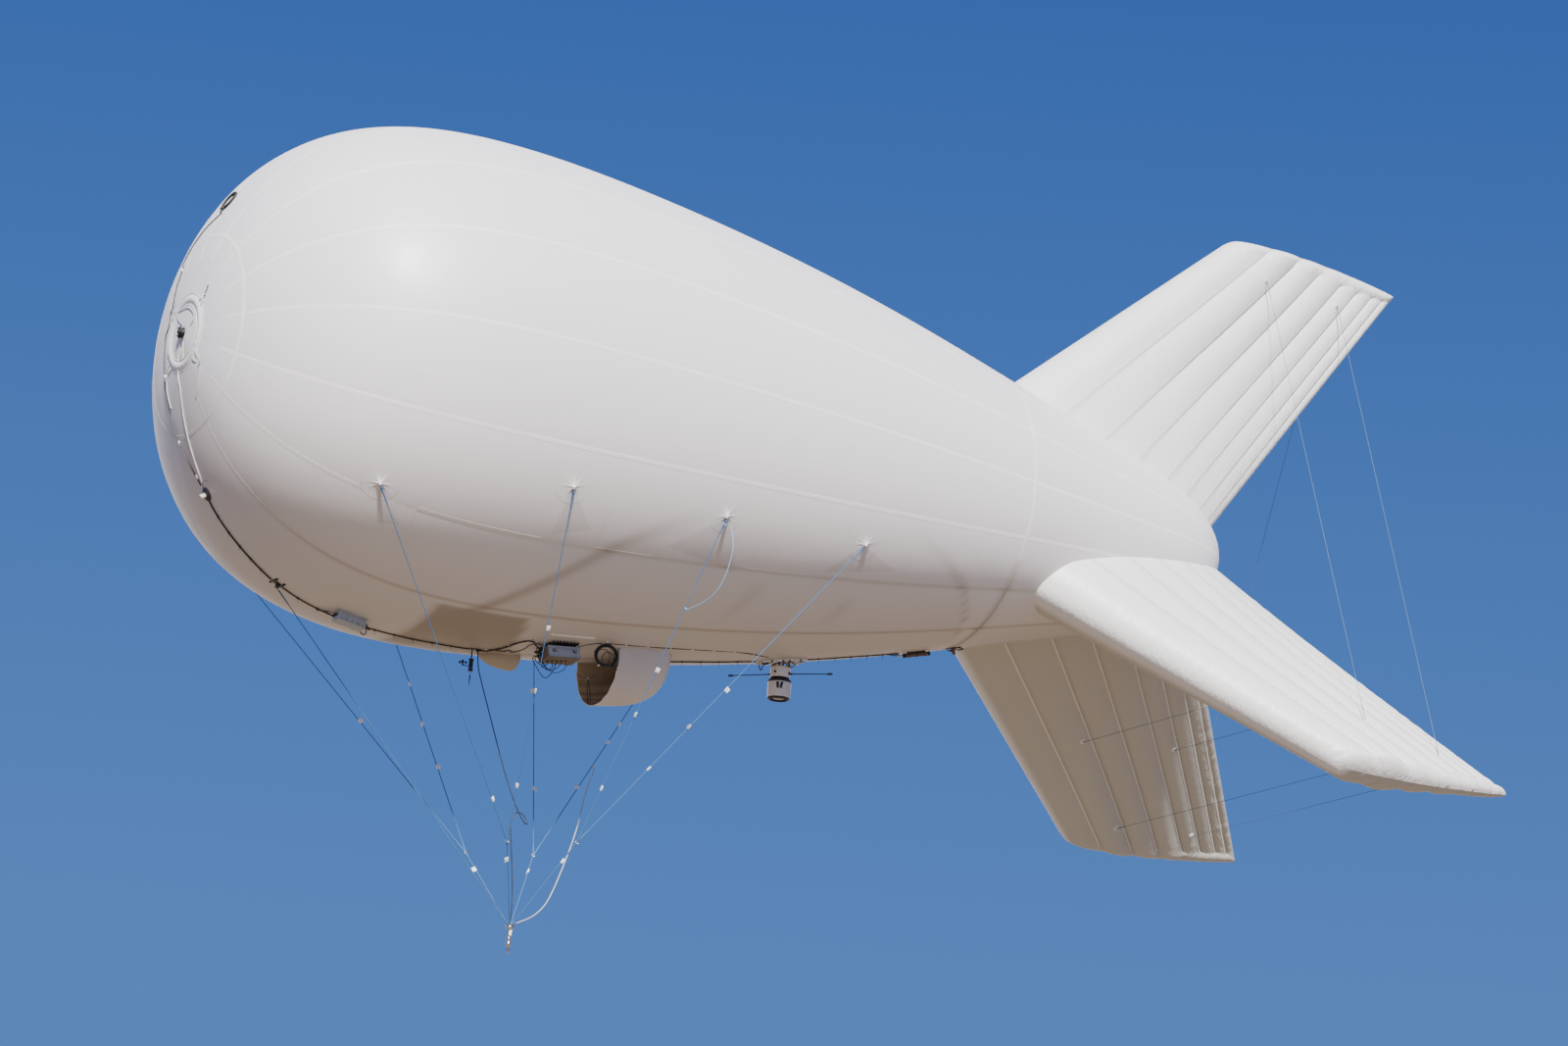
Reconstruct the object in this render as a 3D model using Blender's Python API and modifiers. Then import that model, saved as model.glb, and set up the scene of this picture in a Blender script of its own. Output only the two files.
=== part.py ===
"""Tethered aerostat: an inflated hull with three fins, its belly payload, suspension lines and fin guys.

Units are metres, +Z up. The hull's axis is X with the nose at -X, and port is -Y.
The origin is on that axis at the centre of buoyancy, where the air holds the aerostat up.
"""

import math

import bmesh
import bpy
from mathutils import Matrix, Vector

# Hull
HULL_LENGTH = 20.0
NOSE_X = -7.6
# Bernstein weights of the hull's shape function, nose to tail
HULL_SHAPE = (0.549, 0.157, 0.121, 0.145, 0.010, 0.088)
HULL_STATIONS = 24
HULL_SIDES = 40
SKIN = 0.010
GAP = 0.0003
SIDE_ANGLE = 2 * math.pi / HULL_SIDES
INLET_CUT = 0.3
VALVE_CUT_RADIUS = 0.055
SHARP_ANGLE = math.radians(35)
MERGE = 0.0001

# Fins, as (distance aft of the nose, distance from the hull's axis)
FIN_LEAD_ROOT = (15.69, 2.20)
FIN_LEAD_TIP = (20.06, 6.08)
FIN_TRAIL_TIP = (23.64, 5.80)
FIN_TRAIL_ROOT = (19.84, 0.60)
FIN_ROOT_OVERLAP = 0.16
FIN_SEAMS = (0.27, 0.47, 0.625, 0.75, 0.845, 0.91, 0.96)
FIN_ROOT_DEPTH = 0.34
FIN_TIP_DEPTH = 0.21
FIN_TRAIL_DEPTH = 0.045
FIN_LOBE_BULGE = 0.16
FIN_TIP_ROUND = 0.07
FIN_PHI = {"top": 180.0, "port": 45.0, "starboard": -45.0}

# Nose
NOSE_RING = {"inner": 0.50, "outer": 0.62, "rise": 0.028, "chamfer": 0.02}
HOOP_X = -7.02
HOOP_RADIUS = 0.165
HOOP_THICKNESS = 0.018
VALVE_RADIUS = 0.085
LAMP_X = -6.896
LAMP_PROFILE = ((0, 0.13), (0.035, 0.125), (0.045, 0.10), (0.045, 0.035), (0.085, 0.03), (0.09, 0.0), (0, 0.0))
MOORING_X = -5.51
MOORING_PLATE = (0.20, 0.12, 0.012)
MOORING_LUG = (0.05, 0.04, 0.07)
MOORING_EYE_AT = Vector((0.02, 0, 0.065))
MOORING_EYE_LENGTH = 0.06
MOORING_EYE_RADIUS = 0.016

# Payload on the belly
FORWARD_BOX_X = -4.28
FORWARD_BOX_PHI = 3.5
FORWARD_BOX_SIZE = (0.52, 0.24, 0.17)
WIND_SENSOR_X = -1.92
WIND_SENSOR_FOOT = (0.10, 0.08, 0.012)
WIND_SENSOR_BODY = (0.07, 0.05, 0.20)
CUP_REACH = 0.15
CUP_RADIUS = 0.022
CLAMP_X = -1.815
CLAMP_SIZE = (0.06, 0.05, 0.04)
MAIN_BOX_X = -0.67
MAIN_BOX_PHI = 9.0
MAIN_BOX_SIZE = (0.61, 0.37, 0.21)
MAIN_BOX_LIFT = 0.05
RIB_BASE = (0.50, 0.30, 0.012)
RIB_SIZE = (0.012, 0.30, 0.042)
RIB_COUNT = 8
RIB_STEP = 0.06
COIL_X = 0.05
COIL_PHI = 14.0
COIL_DROP = 0.245
COIL_TURN = math.radians(20)
COIL_RADIUS = 0.175
COIL_THICKNESS = 0.035
HANGER_SIZE = (0.04, 0.04, 0.012)
HANGER_STRAP_RADIUS = 0.010
CAMERA_X = 3.88
CAMERA_DROP = 0.115
CAMERA_PLATE = (0.46, 0.36, 0.012)
CAMERA_RAIL = (0.86, 0.035, 0.035)
CAMERA_RAIL_OFFSET = 0.13
CAMERA_POST_OFFSET = 0.10
CAMERA_POST_RADIUS = 0.014
CAMERA_DISC_RADIUS = 0.175
CAMERA_DISC_DEPTH = 0.014
CAMERA_BASE_RADIUS = 0.170
CAMERA_HEAD_DROP = 0.210
CAMERA_SIDES = 24
AERIAL_DIRECTION = Vector((0.628, -0.778, 0.0))
AERIAL_DROP = 0.10
AERIAL_SAG = 0.012
AERIAL_REACH = 0.92
AERIAL_RADIUS = 0.011
AERIAL_TIP_RADIUS = 0.02
AFT_CYLINDER_X = 6.50
AFT_CYLINDER_RADIUS = 0.0375
AFT_CYLINDER_LENGTH = 0.53
AFT_CYLINDER_RISE = 0.055
AFT_SADDLE = (0.30, 0.05, 0.03)
TAIL_FITTING_X = 7.23
TAIL_PLATE = (0.22, 0.16, 0.014)
TAIL_HUB_RADIUS = 0.045
TAIL_HUB_HEIGHT = 0.12
KEEL_CABLE_RADIUS = 0.009
CABLE_FLAT = math.cos(math.pi / 6)  # a six-sided tube rests on a flat side, this share of its radius down
HARNESS_RADIUS = 0.012
HARNESS_LIFT = 0.006
POWER_CABLE_RADIUS = 0.008

# Belly hoods: mouth position, length to the closed end (negative runs forward), middle, half width, depth,
# and how full the form stays before it closes, as the exponent of a superellipse
SCOOP = {"mouth": 0.42, "reach": 1.17, "middle": 0.0, "half_width": 0.75, "depth": 0.78, "fullness": 3.6}
VENT = {"mouth": -0.98, "reach": -0.64, "middle": 0.36, "half_width": 0.28, "depth": 0.22, "fullness": 2.0}
HOOD_ROWS = 8
HOOD_COLUMNS = 17
HOOD_ROOT_SHARE = 0.88
HOOD_SKIN = 0.008
AIR_INLET_X = 0.95
AIR_INLET_RADIUS = 0.20

# Suspension: (name, distance aft of the origin, angle up from the keel), and where the lines meet
PATCHES = (("one", -5.23, 48.0), ("two", -2.17, 58.7), ("three", 0.80, 58.6), ("four", 3.73, 56.9))
PATCH_RADIUS = 0.11
PATCH_THICKNESS = 0.008
LUG_RADIUS = 0.014
LUG_LENGTH = 0.05
LINE_RADIUS = 0.0075
JUNCTION_FORE = Vector((-1.34, 0.72, -7.40))
JUNCTION_AFT = Vector((-0.09, 0.75, -7.22))
JUNCTION_RADIUS = 0.032
CONFLUENCE = Vector((-0.79, 0.0, -8.64))
CONFLUENCE_RADIUS = 0.07
SWIVEL_SHAFT_RADIUS = 0.032
SWIVEL_PIN_RADIUS = 0.018
SWIVEL_DROP = 0.165
# Where the slack rope leaves a starboard line, as a share of it, and the rope's own radius
SLACK_ROPE_SHARE = 0.648
SLACK_ROPE_RADIUS = 0.009
# Where the slack loop of rope rejoins its port line
LOOP_SHARE = 0.268
ROPE_STEPS = (0.0, 0.012, 0.03, 0.06)
LOOP_RADIUS = 0.007

# Fin guys, as (share of the chord, share of the span) on a fin
GUY_HIGH = ((0.37, 0.86), (0.7975, 0.867))
GUY_HIGH_LOWER_END = ((0.57, 0.747), (0.80, 0.84))
GUY_LOW = ((0.37, 0.522), (0.7975, 0.557), (0.37, 0.88), (0.7975, 0.883))
GUY_PAD_RADIUS = 0.022
GUY_PAD_LIFT = 0.0007
GUY_RADIUS = 0.004

COLLECTION = "tethered_aerostat"
CUTTERS = "cutters"


def clear_scene():
    for obj in list(bpy.data.objects):
        bpy.data.objects.remove(obj, do_unlink=True)
    for name in (COLLECTION, CUTTERS):
        collection = bpy.data.collections.new(name)
        bpy.context.scene.collection.children.link(collection)


def material(name, colour, roughness, metallic=0.0):
    made = bpy.data.materials.get(name) or bpy.data.materials.new(name)
    made.use_nodes = True
    shader = made.node_tree.nodes["Principled BSDF"]
    shader.inputs["Base Color"].default_value = (*colour, 1.0)
    shader.inputs["Roughness"].default_value = roughness
    shader.inputs["Metallic"].default_value = metallic
    return made


def envelope_fabric():
    return material("envelope_fabric", (0.80, 0.79, 0.78), 0.45)


def white_webbing():
    return material("white_webbing", (0.75, 0.74, 0.70), 0.8)


def blue_rope():
    return material("blue_rope", (0.16, 0.36, 0.58), 0.7)


def black_plastic():
    return material("black_plastic", (0.02, 0.02, 0.022), 0.5)


def black_cable():
    return material("black_cable", (0.015, 0.015, 0.015), 0.6)


def grey_paint():
    return material("grey_paint", (0.38, 0.44, 0.49), 0.45)


def white_paint():
    return material("white_paint", (0.72, 0.72, 0.72), 0.35)


def steel():
    return material("steel", (0.55, 0.55, 0.56), 0.35, 1.0)


def add(name, mesh, finish, matrix=None):
    """One named sub-part in the object's collection."""
    obj = bpy.data.objects.new(name, mesh)
    mesh.materials.append(finish)
    if matrix is not None:
        obj.matrix_world = matrix
    bpy.data.collections[COLLECTION].objects.link(obj)
    return obj


def make_cutter(obj):
    """Turns a part into a guide that a Boolean reads and a render leaves out."""
    for collection in list(obj.users_collection):
        collection.objects.unlink(obj)
    bpy.data.collections[CUTTERS].objects.link(obj)
    obj.hide_render = True
    obj.display_type = "WIRE"
    return obj


def boolean(obj, other, operation="DIFFERENCE"):
    made = obj.modifiers.new(operation.lower(), "BOOLEAN")
    made.operation = operation
    made.solver = "EXACT"
    made.object = make_cutter(other)
    return obj


def fuse(first, *others):
    for other in others:
        boolean(first, other, "UNION")
    return first


def bevel(obj, width, segments=1):
    made = obj.modifiers.new("bevel", "BEVEL")
    made.width = width
    made.segments = segments
    made.limit_method = "ANGLE"
    return obj


def mesh_from(build):
    shape = bmesh.new()
    build(shape)
    mesh = bpy.data.meshes.new("shape")
    shape.to_mesh(mesh)
    shape.free()
    return mesh


def smooth(mesh):
    """Smooth shading, with sharp edges kept crisp."""
    mesh.shade_smooth()
    mesh.set_sharp_from_angle(angle=SHARP_ANGLE)
    return mesh


def box(name, size, centre, finish, frame=Matrix.Identity(4)):
    """A box of a real size, with its centre given in the frame that carries it."""

    def build(shape):
        bmesh.ops.create_cube(shape, size=1.0, matrix=Matrix.Diagonal((*size, 1.0)))

    return add(name, mesh_from(build), finish, frame @ Matrix.Translation(centre))


def cylinder(name, radius, start, end, finish, sides=16, end_radius=None, frame=Matrix.Identity(4)):
    """A cylinder or cone between two points of the frame that carries it."""
    start, end = Vector(start), Vector(end)
    run = end - start

    def build(shape):
        bmesh.ops.create_cone(
            shape,
            cap_ends=True,
            segments=sides,
            radius1=radius,
            radius2=radius if end_radius is None else end_radius,
            depth=run.length,
        )

    turn = run.to_track_quat("Z", "Y").to_matrix().to_4x4()
    place = frame @ Matrix.Translation((start + end) / 2) @ turn
    return add(name, smooth(mesh_from(build)), finish, place)


def ball(name, radius, centre, finish, sides=16):
    def build(shape):
        bmesh.ops.create_uvsphere(shape, u_segments=sides, v_segments=sides // 2, radius=radius)

    return add(name, smooth(mesh_from(build)), finish, Matrix.Translation(centre))


def torus(name, radius, thickness, finish, frame, sides=24, around=8):
    bpy.ops.mesh.primitive_torus_add(
        major_radius=radius, minor_radius=thickness, major_segments=sides, minor_segments=around
    )
    made = bpy.context.active_object
    mesh = made.data
    bpy.data.objects.remove(made)
    return add(name, smooth(mesh), finish, frame)


def spun(points, axis, sides):
    """A smooth mesh that a line of points sweeps round an axis through the origin."""

    def build(shape):
        line = [shape.verts.new(point) for point in points]
        edges = [shape.edges.new(pair) for pair in zip(line, line[1:])]
        bmesh.ops.spin(
            shape, geom=[*line, *edges], axis=axis, cent=(0, 0, 0), angle=2 * math.pi, steps=sides
        )
        bmesh.ops.remove_doubles(shape, verts=shape.verts, dist=MERGE)
        bmesh.ops.recalc_face_normals(shape, faces=shape.faces)

    return smooth(mesh_from(build))


def turned(name, profile, finish, frame=Matrix.Identity(4), sides=32):
    """A solid turned about the frame's Z, from (radius, height) points that run down its outer side."""
    points = [(radius, 0.0, height) for radius, height in profile]
    return add(name, spun(points, (0, 0, 1), sides), finish, frame)


def tube(name, points, radius, finish, resolution=2):
    """A rope, wire or cable along its points, as a curve with filled caps."""
    curve = bpy.data.curves.new(name, "CURVE")
    curve.dimensions = "3D"
    curve.bevel_depth = radius
    curve.bevel_resolution = resolution
    curve.use_fill_caps = True
    spline = curve.splines.new("POLY")
    spline.points.add(len(points) - 1)
    for target, point in zip(spline.points, points):
        target.co = (*point, 1.0)
    return add(name, curve, finish)


def smooth_route(points, count):
    """Points at even steps along a smooth curve through a route's own points."""
    points = [Vector(p) for p in points]
    points = [2 * points[0] - points[1], *points, 2 * points[-1] - points[-2]]
    dense = []
    for a, b, c, d in zip(points, points[1:], points[2:], points[3:]):
        for step in range(20):
            t = step / 20
            dense.append(
                b
                + (c - a) * t / 2
                + (2 * a - 5 * b + 4 * c - d) * t**2 / 2
                + (3 * b - a - 3 * c + d) * t**3 / 2
            )
    dense.append(points[-2])
    lengths = [0.0]
    for a, b in zip(dense, dense[1:]):
        lengths.append(lengths[-1] + (b - a).length)
    route = []
    for i in range(count):
        wanted = lengths[-1] * i / (count - 1)
        reached = [j for j, length in enumerate(lengths) if length <= wanted]
        at = min(reached[-1], len(dense) - 2)
        share = (wanted - lengths[at]) / (lengths[at + 1] - lengths[at])
        route.append(dense[at].lerp(dense[at + 1], share))
    return route


# Hull form


def hull_radius(aft):
    """The hull's radius at a distance aft of the nose: a class function times a shape function."""
    share = min(max(aft / HULL_LENGTH, 0.0), 1.0)
    order = len(HULL_SHAPE) - 1
    shape = sum(
        math.comb(order, i) * share**i * (1 - share) ** (order - i) * weight
        for i, weight in enumerate(HULL_SHAPE)
    )
    return HULL_LENGTH * math.sqrt(max(share * (1 - share) * shape, 0.0))


def hull_stations():
    """(aft of the nose, radius) at each seam of the faceted hull, closer together at the ends."""
    stations = []
    for i in range(HULL_STATIONS + 1):
        aft = HULL_LENGTH * (1 - math.cos(math.pi * i / HULL_STATIONS)) / 2
        stations.append((aft, hull_radius(aft)))
    stations[0] = (0.0, 0.0)
    stations[-1] = (HULL_LENGTH, 0.0)
    return stations


def facet_at(aft):
    """The radius on a facet's middle line, and its slope, at a distance aft of the nose."""
    stations = hull_stations()
    for (a, ra), (b, rb) in zip(stations, stations[1:]):
        if a <= aft <= b:
            slope = (rb - ra) / (b - a)
            return ra + slope * (aft - a), slope
    raise ValueError("not on the hull")


def seat(x, phi, lift=GAP):
    """A frame on the hull's facet at x, phi degrees round from the keel to port: Z points out, X aft."""
    radius, slope = facet_at(x - NOSE_X)
    middle = round(math.radians(phi) / SIDE_ANGLE) * SIDE_ANGLE
    off = math.radians(phi) - middle
    reach = radius / math.cos(off)
    angle = math.radians(phi)
    point = Vector((x, -reach * math.sin(angle), -reach * math.cos(angle)))
    out = Vector((-slope, -math.sin(middle), -math.cos(middle))).normalized()
    aft = Vector((1.0, slope * out.y, slope * out.z))
    aft = (aft - out * aft.dot(out)).normalized()
    across = out.cross(aft)
    turn = Matrix((aft, across, out)).transposed().to_4x4()
    return Matrix.Translation(point + out * lift) @ turn


def hull_profile(extra=0.0):
    """Points of the turned hull in the keel plane, at the facets' corners, pushed out by extra."""
    widen = 1 / math.cos(SIDE_ANGLE / 2)
    points = [(NOSE_X + aft, radius * widen) for aft, radius in hull_stations()]
    if not extra:
        return points
    pushed = []
    for i, (x, radius) in enumerate(points):
        before, after = points[max(i - 1, 0)], points[min(i + 1, len(points) - 1)]
        run = Vector((after[0] - before[0], after[1] - before[1])).normalized()
        out = Vector((-run.y, run.x)) * extra
        if i == 0:
            out = Vector((-extra, 0.0))
        if i == len(points) - 1:
            out = Vector((extra, 0.0))
        pushed.append((x + out.x, radius + out.y if radius else 0.0))
    return pushed


def hull_skin(name, extra=0.0):
    """The closed turned surface of the hull, with a facet's middle line on the keel."""
    start = SIDE_ANGLE / 2
    profile = hull_profile(extra)
    points = [(x, -radius * math.sin(start), -radius * math.cos(start)) for x, radius in profile]
    return add(name, spun(points, (1, 0, 0), HULL_SIDES), envelope_fabric())


def envelope():
    obj = hull_skin("envelope")
    shell = obj.modifiers.new("skin", "SOLIDIFY")
    shell.thickness = SKIN
    shell.offset = -1.0
    radius, _ = facet_at(AIR_INLET_X - NOSE_X)
    inlet = cylinder(
        "air_inlet_cut",
        AIR_INLET_RADIUS,
        (AIR_INLET_X, 0, -radius - INLET_CUT),
        (AIR_INLET_X, 0, -radius + INLET_CUT),
        envelope_fabric(),
        24,
    )
    front, back = (NOSE_X - INLET_CUT, 0, 0), (NOSE_X + INLET_CUT, 0, 0)
    valve = cylinder("valve_cut", VALVE_CUT_RADIUS, front, back, envelope_fabric(), 24)
    boolean(obj, inlet)
    boolean(obj, valve)
    return obj


def nose_parts():
    """The raised ring round the nose pole, the valve in it, the hoop above it and the lamp below."""
    slope = facet_at(0.02)[1]
    facing = Matrix.Translation((NOSE_X, 0, 0)) @ Matrix.Rotation(-math.pi / 2, 4, "Y")
    facing = facing @ Matrix.Rotation(SIDE_ANGLE / 2, 4, "Z")
    widen = 1 / math.cos(SIDE_ANGLE / 2)
    inner, outer, rise, chamfer = NOSE_RING.values()

    def on_nose(radius, height):
        return (radius * widen, GAP * 1.5 - radius / slope + height)

    ring = [
        on_nose(inner, 0.0),
        on_nose(inner + chamfer, rise),
        on_nose(outer - chamfer, rise),
        on_nose(outer, 0.0),
        on_nose(inner, 0.0),
    ]
    turned("nose_ring", ring, envelope_fabric(), facing, HULL_SIDES)
    rim = GAP * 1.5 - VALVE_RADIUS / slope
    valve = [
        (0.0, rim + 0.05),
        (0.055, rim + 0.045),
        (0.075, rim + 0.03),
        (VALVE_RADIUS, rim + 0.012),
        (VALVE_RADIUS, rim),
        (0.050, GAP * 1.5 - 0.050 / slope),
        (0.050, -0.04),
        (0.0, -0.04),
    ]
    turned("nose_valve", valve, black_plastic(), facing, 16)
    flat = seat(HOOP_X, 180.0) @ Matrix.Translation((0, 0, HOOP_THICKNESS))
    torus("nose_hoop", HOOP_RADIUS, HOOP_THICKNESS, black_plastic(), flat, 20, 8)
    lamp_seat = seat(LAMP_X, 0.0)
    turned("nose_lamp", LAMP_PROFILE, white_paint(), lamp_seat, 16)


def keel_route(start, end, lift, phi=0.0):
    """Points over the faceted keel, one at each station, so that a cable lies along its facets."""
    xs = [start] + [NOSE_X + aft for aft, _ in hull_stations() if start < NOSE_X + aft < end] + [end]
    route = []
    for x in xs:
        ahead, behind = seat(min(x + 0.01, end), phi, 0.0), seat(max(x - 0.01, start), phi, 0.0)
        out = (ahead.col[2].xyz + behind.col[2].xyz).normalized()
        bend = max(out.dot(ahead.col[2].xyz), 0.9)
        route.append(seat(x, phi, 0.0).translation + out * lift / bend)
    return route


def keel_cables():
    """The cable along the belly between the lamp, the boxes, the camera and the tail."""
    lift = KEEL_CABLE_RADIUS * CABLE_FLAT + GAP
    runs = (
        ("nose_cable", -6.80, -5.62),
        ("keel_cable_fore", -5.40, WIND_SENSOR_X - 0.052),
        ("keel_cable_aft", 1.64, 3.36),
        ("tail_cable", 4.30, 6.14),
    )
    for name, start, end in runs:
        tube(name, keel_route(start, end, lift), KEEL_CABLE_RADIUS, black_cable(), 1)


def mooring_eye():
    return seat(MOORING_X, 0.0) @ MOORING_EYE_AT


def lying(name, size, finish, frame):
    """A box that lies with its underside on the frame's plane."""
    return box(name, size, (0, 0, size[2] / 2), finish, frame)


def fittings():
    """Mooring and tail fittings, the forward box and the dark cylinder behind the camera."""
    mooring = seat(MOORING_X, 0.0)
    plate = lying("mooring_fitting", MOORING_PLATE, black_plastic(), mooring)
    lug_at = (MOORING_EYE_AT.x, 0, MOORING_PLATE[2] - 0.002 + MOORING_LUG[2] / 2)
    lug = box("mooring_lug", MOORING_LUG, lug_at, black_plastic(), mooring)
    pull = (CONFLUENCE - mooring_eye()).normalized()
    tip = mooring_eye() + pull * MOORING_EYE_LENGTH
    eye = cylinder("eye", MOORING_EYE_RADIUS, mooring_eye(), tip, black_plastic(), 12, 0.01)
    fuse(plate, lug, eye)
    case = lying("forward_box", FORWARD_BOX_SIZE, grey_paint(), seat(FORWARD_BOX_X, FORWARD_BOX_PHI))
    bevel(case, 0.012)
    tail = seat(TAIL_FITTING_X, 0.0)
    base = lying("tail_fitting", TAIL_PLATE, black_plastic(), tail)
    top = (0, 0, TAIL_HUB_HEIGHT)
    hub = cylinder("tail_hub", TAIL_HUB_RADIUS, (0, 0, 0.005), top, black_plastic(), 16, 0.03, tail)
    fuse(base, hub)
    aft = seat(AFT_CYLINDER_X, 0.0)
    saddle = lying("aft_cylinder", AFT_SADDLE, black_plastic(), aft)
    half = AFT_CYLINDER_LENGTH / 2
    front, back = (-half, 0, AFT_CYLINDER_RISE), (half, 0, AFT_CYLINDER_RISE)
    drum = cylinder("aft_drum", AFT_CYLINDER_RADIUS, front, back, black_plastic(), 16, None, aft)
    fuse(saddle, drum)


def main_box():
    """The payload box on its patch, with cooling ribs between the two."""
    place = seat(MAIN_BOX_X, MAIN_BOX_PHI)
    middle = MAIN_BOX_LIFT + MAIN_BOX_SIZE[2] / 2
    case = box("main_box", MAIN_BOX_SIZE, (0, 0, middle), grey_paint(), place)
    bevel(case, 0.01)
    sink = lying("cooling_ribs", RIB_BASE, black_plastic(), place)
    rib_middle = RIB_BASE[2] / 2 + RIB_SIZE[2] / 2 + 0.0015
    for i in range(RIB_COUNT):
        across = RIB_STEP * (i - (RIB_COUNT - 1) / 2)
        rib = box("cooling_rib", RIB_SIZE, (across, 0, rib_middle), black_plastic(), place)
        boolean(sink, rib, "UNION")


def hull_route(stops, count, lift):
    """Points over the faceted hull along a smooth curve through (x, phi) stops."""
    flat = smooth_route([(x, math.radians(phi) * 4, 0) for x, phi in stops], count)
    return [seat(p.x, math.degrees(p.y / 4), lift).translation for p in flat]


def loose_cables():
    """The clamp under the belly, the harness from it to the main box and the slack cable up to it."""
    clamp = seat(CLAMP_X, 0.0)
    length, _, depth = CLAMP_SIZE
    box("cable_clamp", CLAMP_SIZE, (0, 0, depth / 2), black_plastic(), clamp)
    lift = HARNESS_RADIUS + HARNESS_LIFT
    start = length / 2 + GAP
    stops = [(-1.72, 0.2), (-1.64, 1.2), (-1.53, 4.6), (-1.44, 8.6), (-1.32, 10.8), (-1.20, 10.6)]
    place = seat(MAIN_BOX_X, MAIN_BOX_PHI)
    end = -MAIN_BOX_SIZE[0] / 2 - GAP
    route = [
        clamp @ Vector((start + 0.02, 0, lift)),
        *hull_route(stops, 32, lift),
        place @ Vector((end - 0.12, 0.02, 0.045)),
        place @ Vector((end - 0.055, 0.0, 0.085)),
        place @ Vector((end - 0.02, 0.0, 0.10)),
    ]
    route = [
        clamp @ Vector((start, 0, lift)),
        *smooth_route(route, 42),
        place @ Vector((end, 0.0, 0.10)),
    ]
    tube("harness", route, HARNESS_RADIUS, black_cable())
    stops = [
        CONFLUENCE + Vector((0, 0, CONFLUENCE_RADIUS + GAP)),
        (-0.785, 0.0, -8.45),
        (-0.80, 0.0, -8.05),
        (-0.85, 0.0, -7.62),
        (-0.90, 0.0, -7.25),
        (-0.93, 0.01, -6.95),
        (-0.88, 0.03, -6.77),
        (-0.78, 0.03, -6.72),
        (-0.68, 0.01, -6.79),
        (-0.64, -0.02, -6.90),
        (-0.72, -0.04, -6.88),
        (-0.88, -0.04, -6.66),
        (-1.10, -0.02, -6.21),
        (-1.30, 0.0, -5.70),
        (-1.50, 0.0, -5.20),
        (-1.66, 0.0, -4.80),
        (-1.77, 0.0, -4.50),
        clamp @ Vector((0, 0, depth + 0.06)),
        clamp @ Vector((0, 0, depth + GAP)),
    ]
    tube("power_cable", smooth_route(stops, 60), POWER_CABLE_RADIUS, black_cable())


def cable_coil():
    """The spare cable, tied up as a coil that hangs in the keel's plane on the port side."""
    top = seat(COIL_X, COIL_PHI)
    centre = top.translation - Vector((0, 0, COIL_DROP))
    turn = Matrix.Rotation(-COIL_TURN, 4, "Z") @ Matrix.Rotation(math.pi / 2, 4, "X")
    ring = Matrix.Translation(centre) @ turn
    torus("cable_coil", COIL_RADIUS, COIL_THICKNESS, black_cable(), ring, 24, 8)
    hanger = lying("coil_hanger", HANGER_SIZE, white_webbing(), top)
    strap_top = top.translation - Vector((0, 0, 0.004))
    strap_end = centre + Vector((0, 0, COIL_RADIUS + COIL_THICKNESS + 2 * GAP))
    strap = cylinder("coil_strap", HANGER_STRAP_RADIUS, strap_top, strap_end, white_webbing(), 8)
    fuse(hanger, strap)


def ellipse_hood(name, spec, finish):
    """A fabric hood on the belly: a rounded form, open at its mouth and cut to the hull."""
    rows, columns = HOOD_ROWS, HOOD_COLUMNS
    power = 2 / spec["fullness"]
    mesh = bpy.data.meshes.new("shape")
    points, faces = [], []
    for row in range(rows):
        turn = math.pi / 2 * row / (rows - 0.6)
        x = spec["mouth"] + spec["reach"] * math.sin(turn) ** power
        shrink = math.cos(turn) ** power
        top = -facet_at(x - NOSE_X)[0]
        for column in range(columns):
            share = -1 + 2 * column / (columns - 1)
            if abs(share) > HOOD_ROOT_SHARE:
                y = spec["middle"] + math.copysign(spec["half_width"] * shrink, share)
                z = top + (0.30 if abs(share) == 1 else 0.0)
            else:
                angle = share / HOOD_ROOT_SHARE * math.pi / 2
                y = spec["middle"] + spec["half_width"] * shrink * math.sin(angle)
                z = top - spec["depth"] * shrink * math.cos(angle)
            points.append((x, y, z))
    for row in range(rows - 1):
        for column in range(columns - 1):
            corner = row * columns + column
            quad = (corner, corner + 1, corner + columns + 1, corner + columns)
            faces.append(quad if spec["reach"] > 0 else quad[::-1])
    last = (rows - 1) * columns
    closing = tuple(last + column for column in range(columns))
    faces.append(closing if spec["reach"] > 0 else closing[::-1])
    mesh.from_pydata(points, [], faces)
    obj = add(name, mesh, finish)
    shell = obj.modifiers.new("skin", "SOLIDIFY")
    shell.thickness = HOOD_SKIN
    shell.offset = 0.0
    return obj


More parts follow.
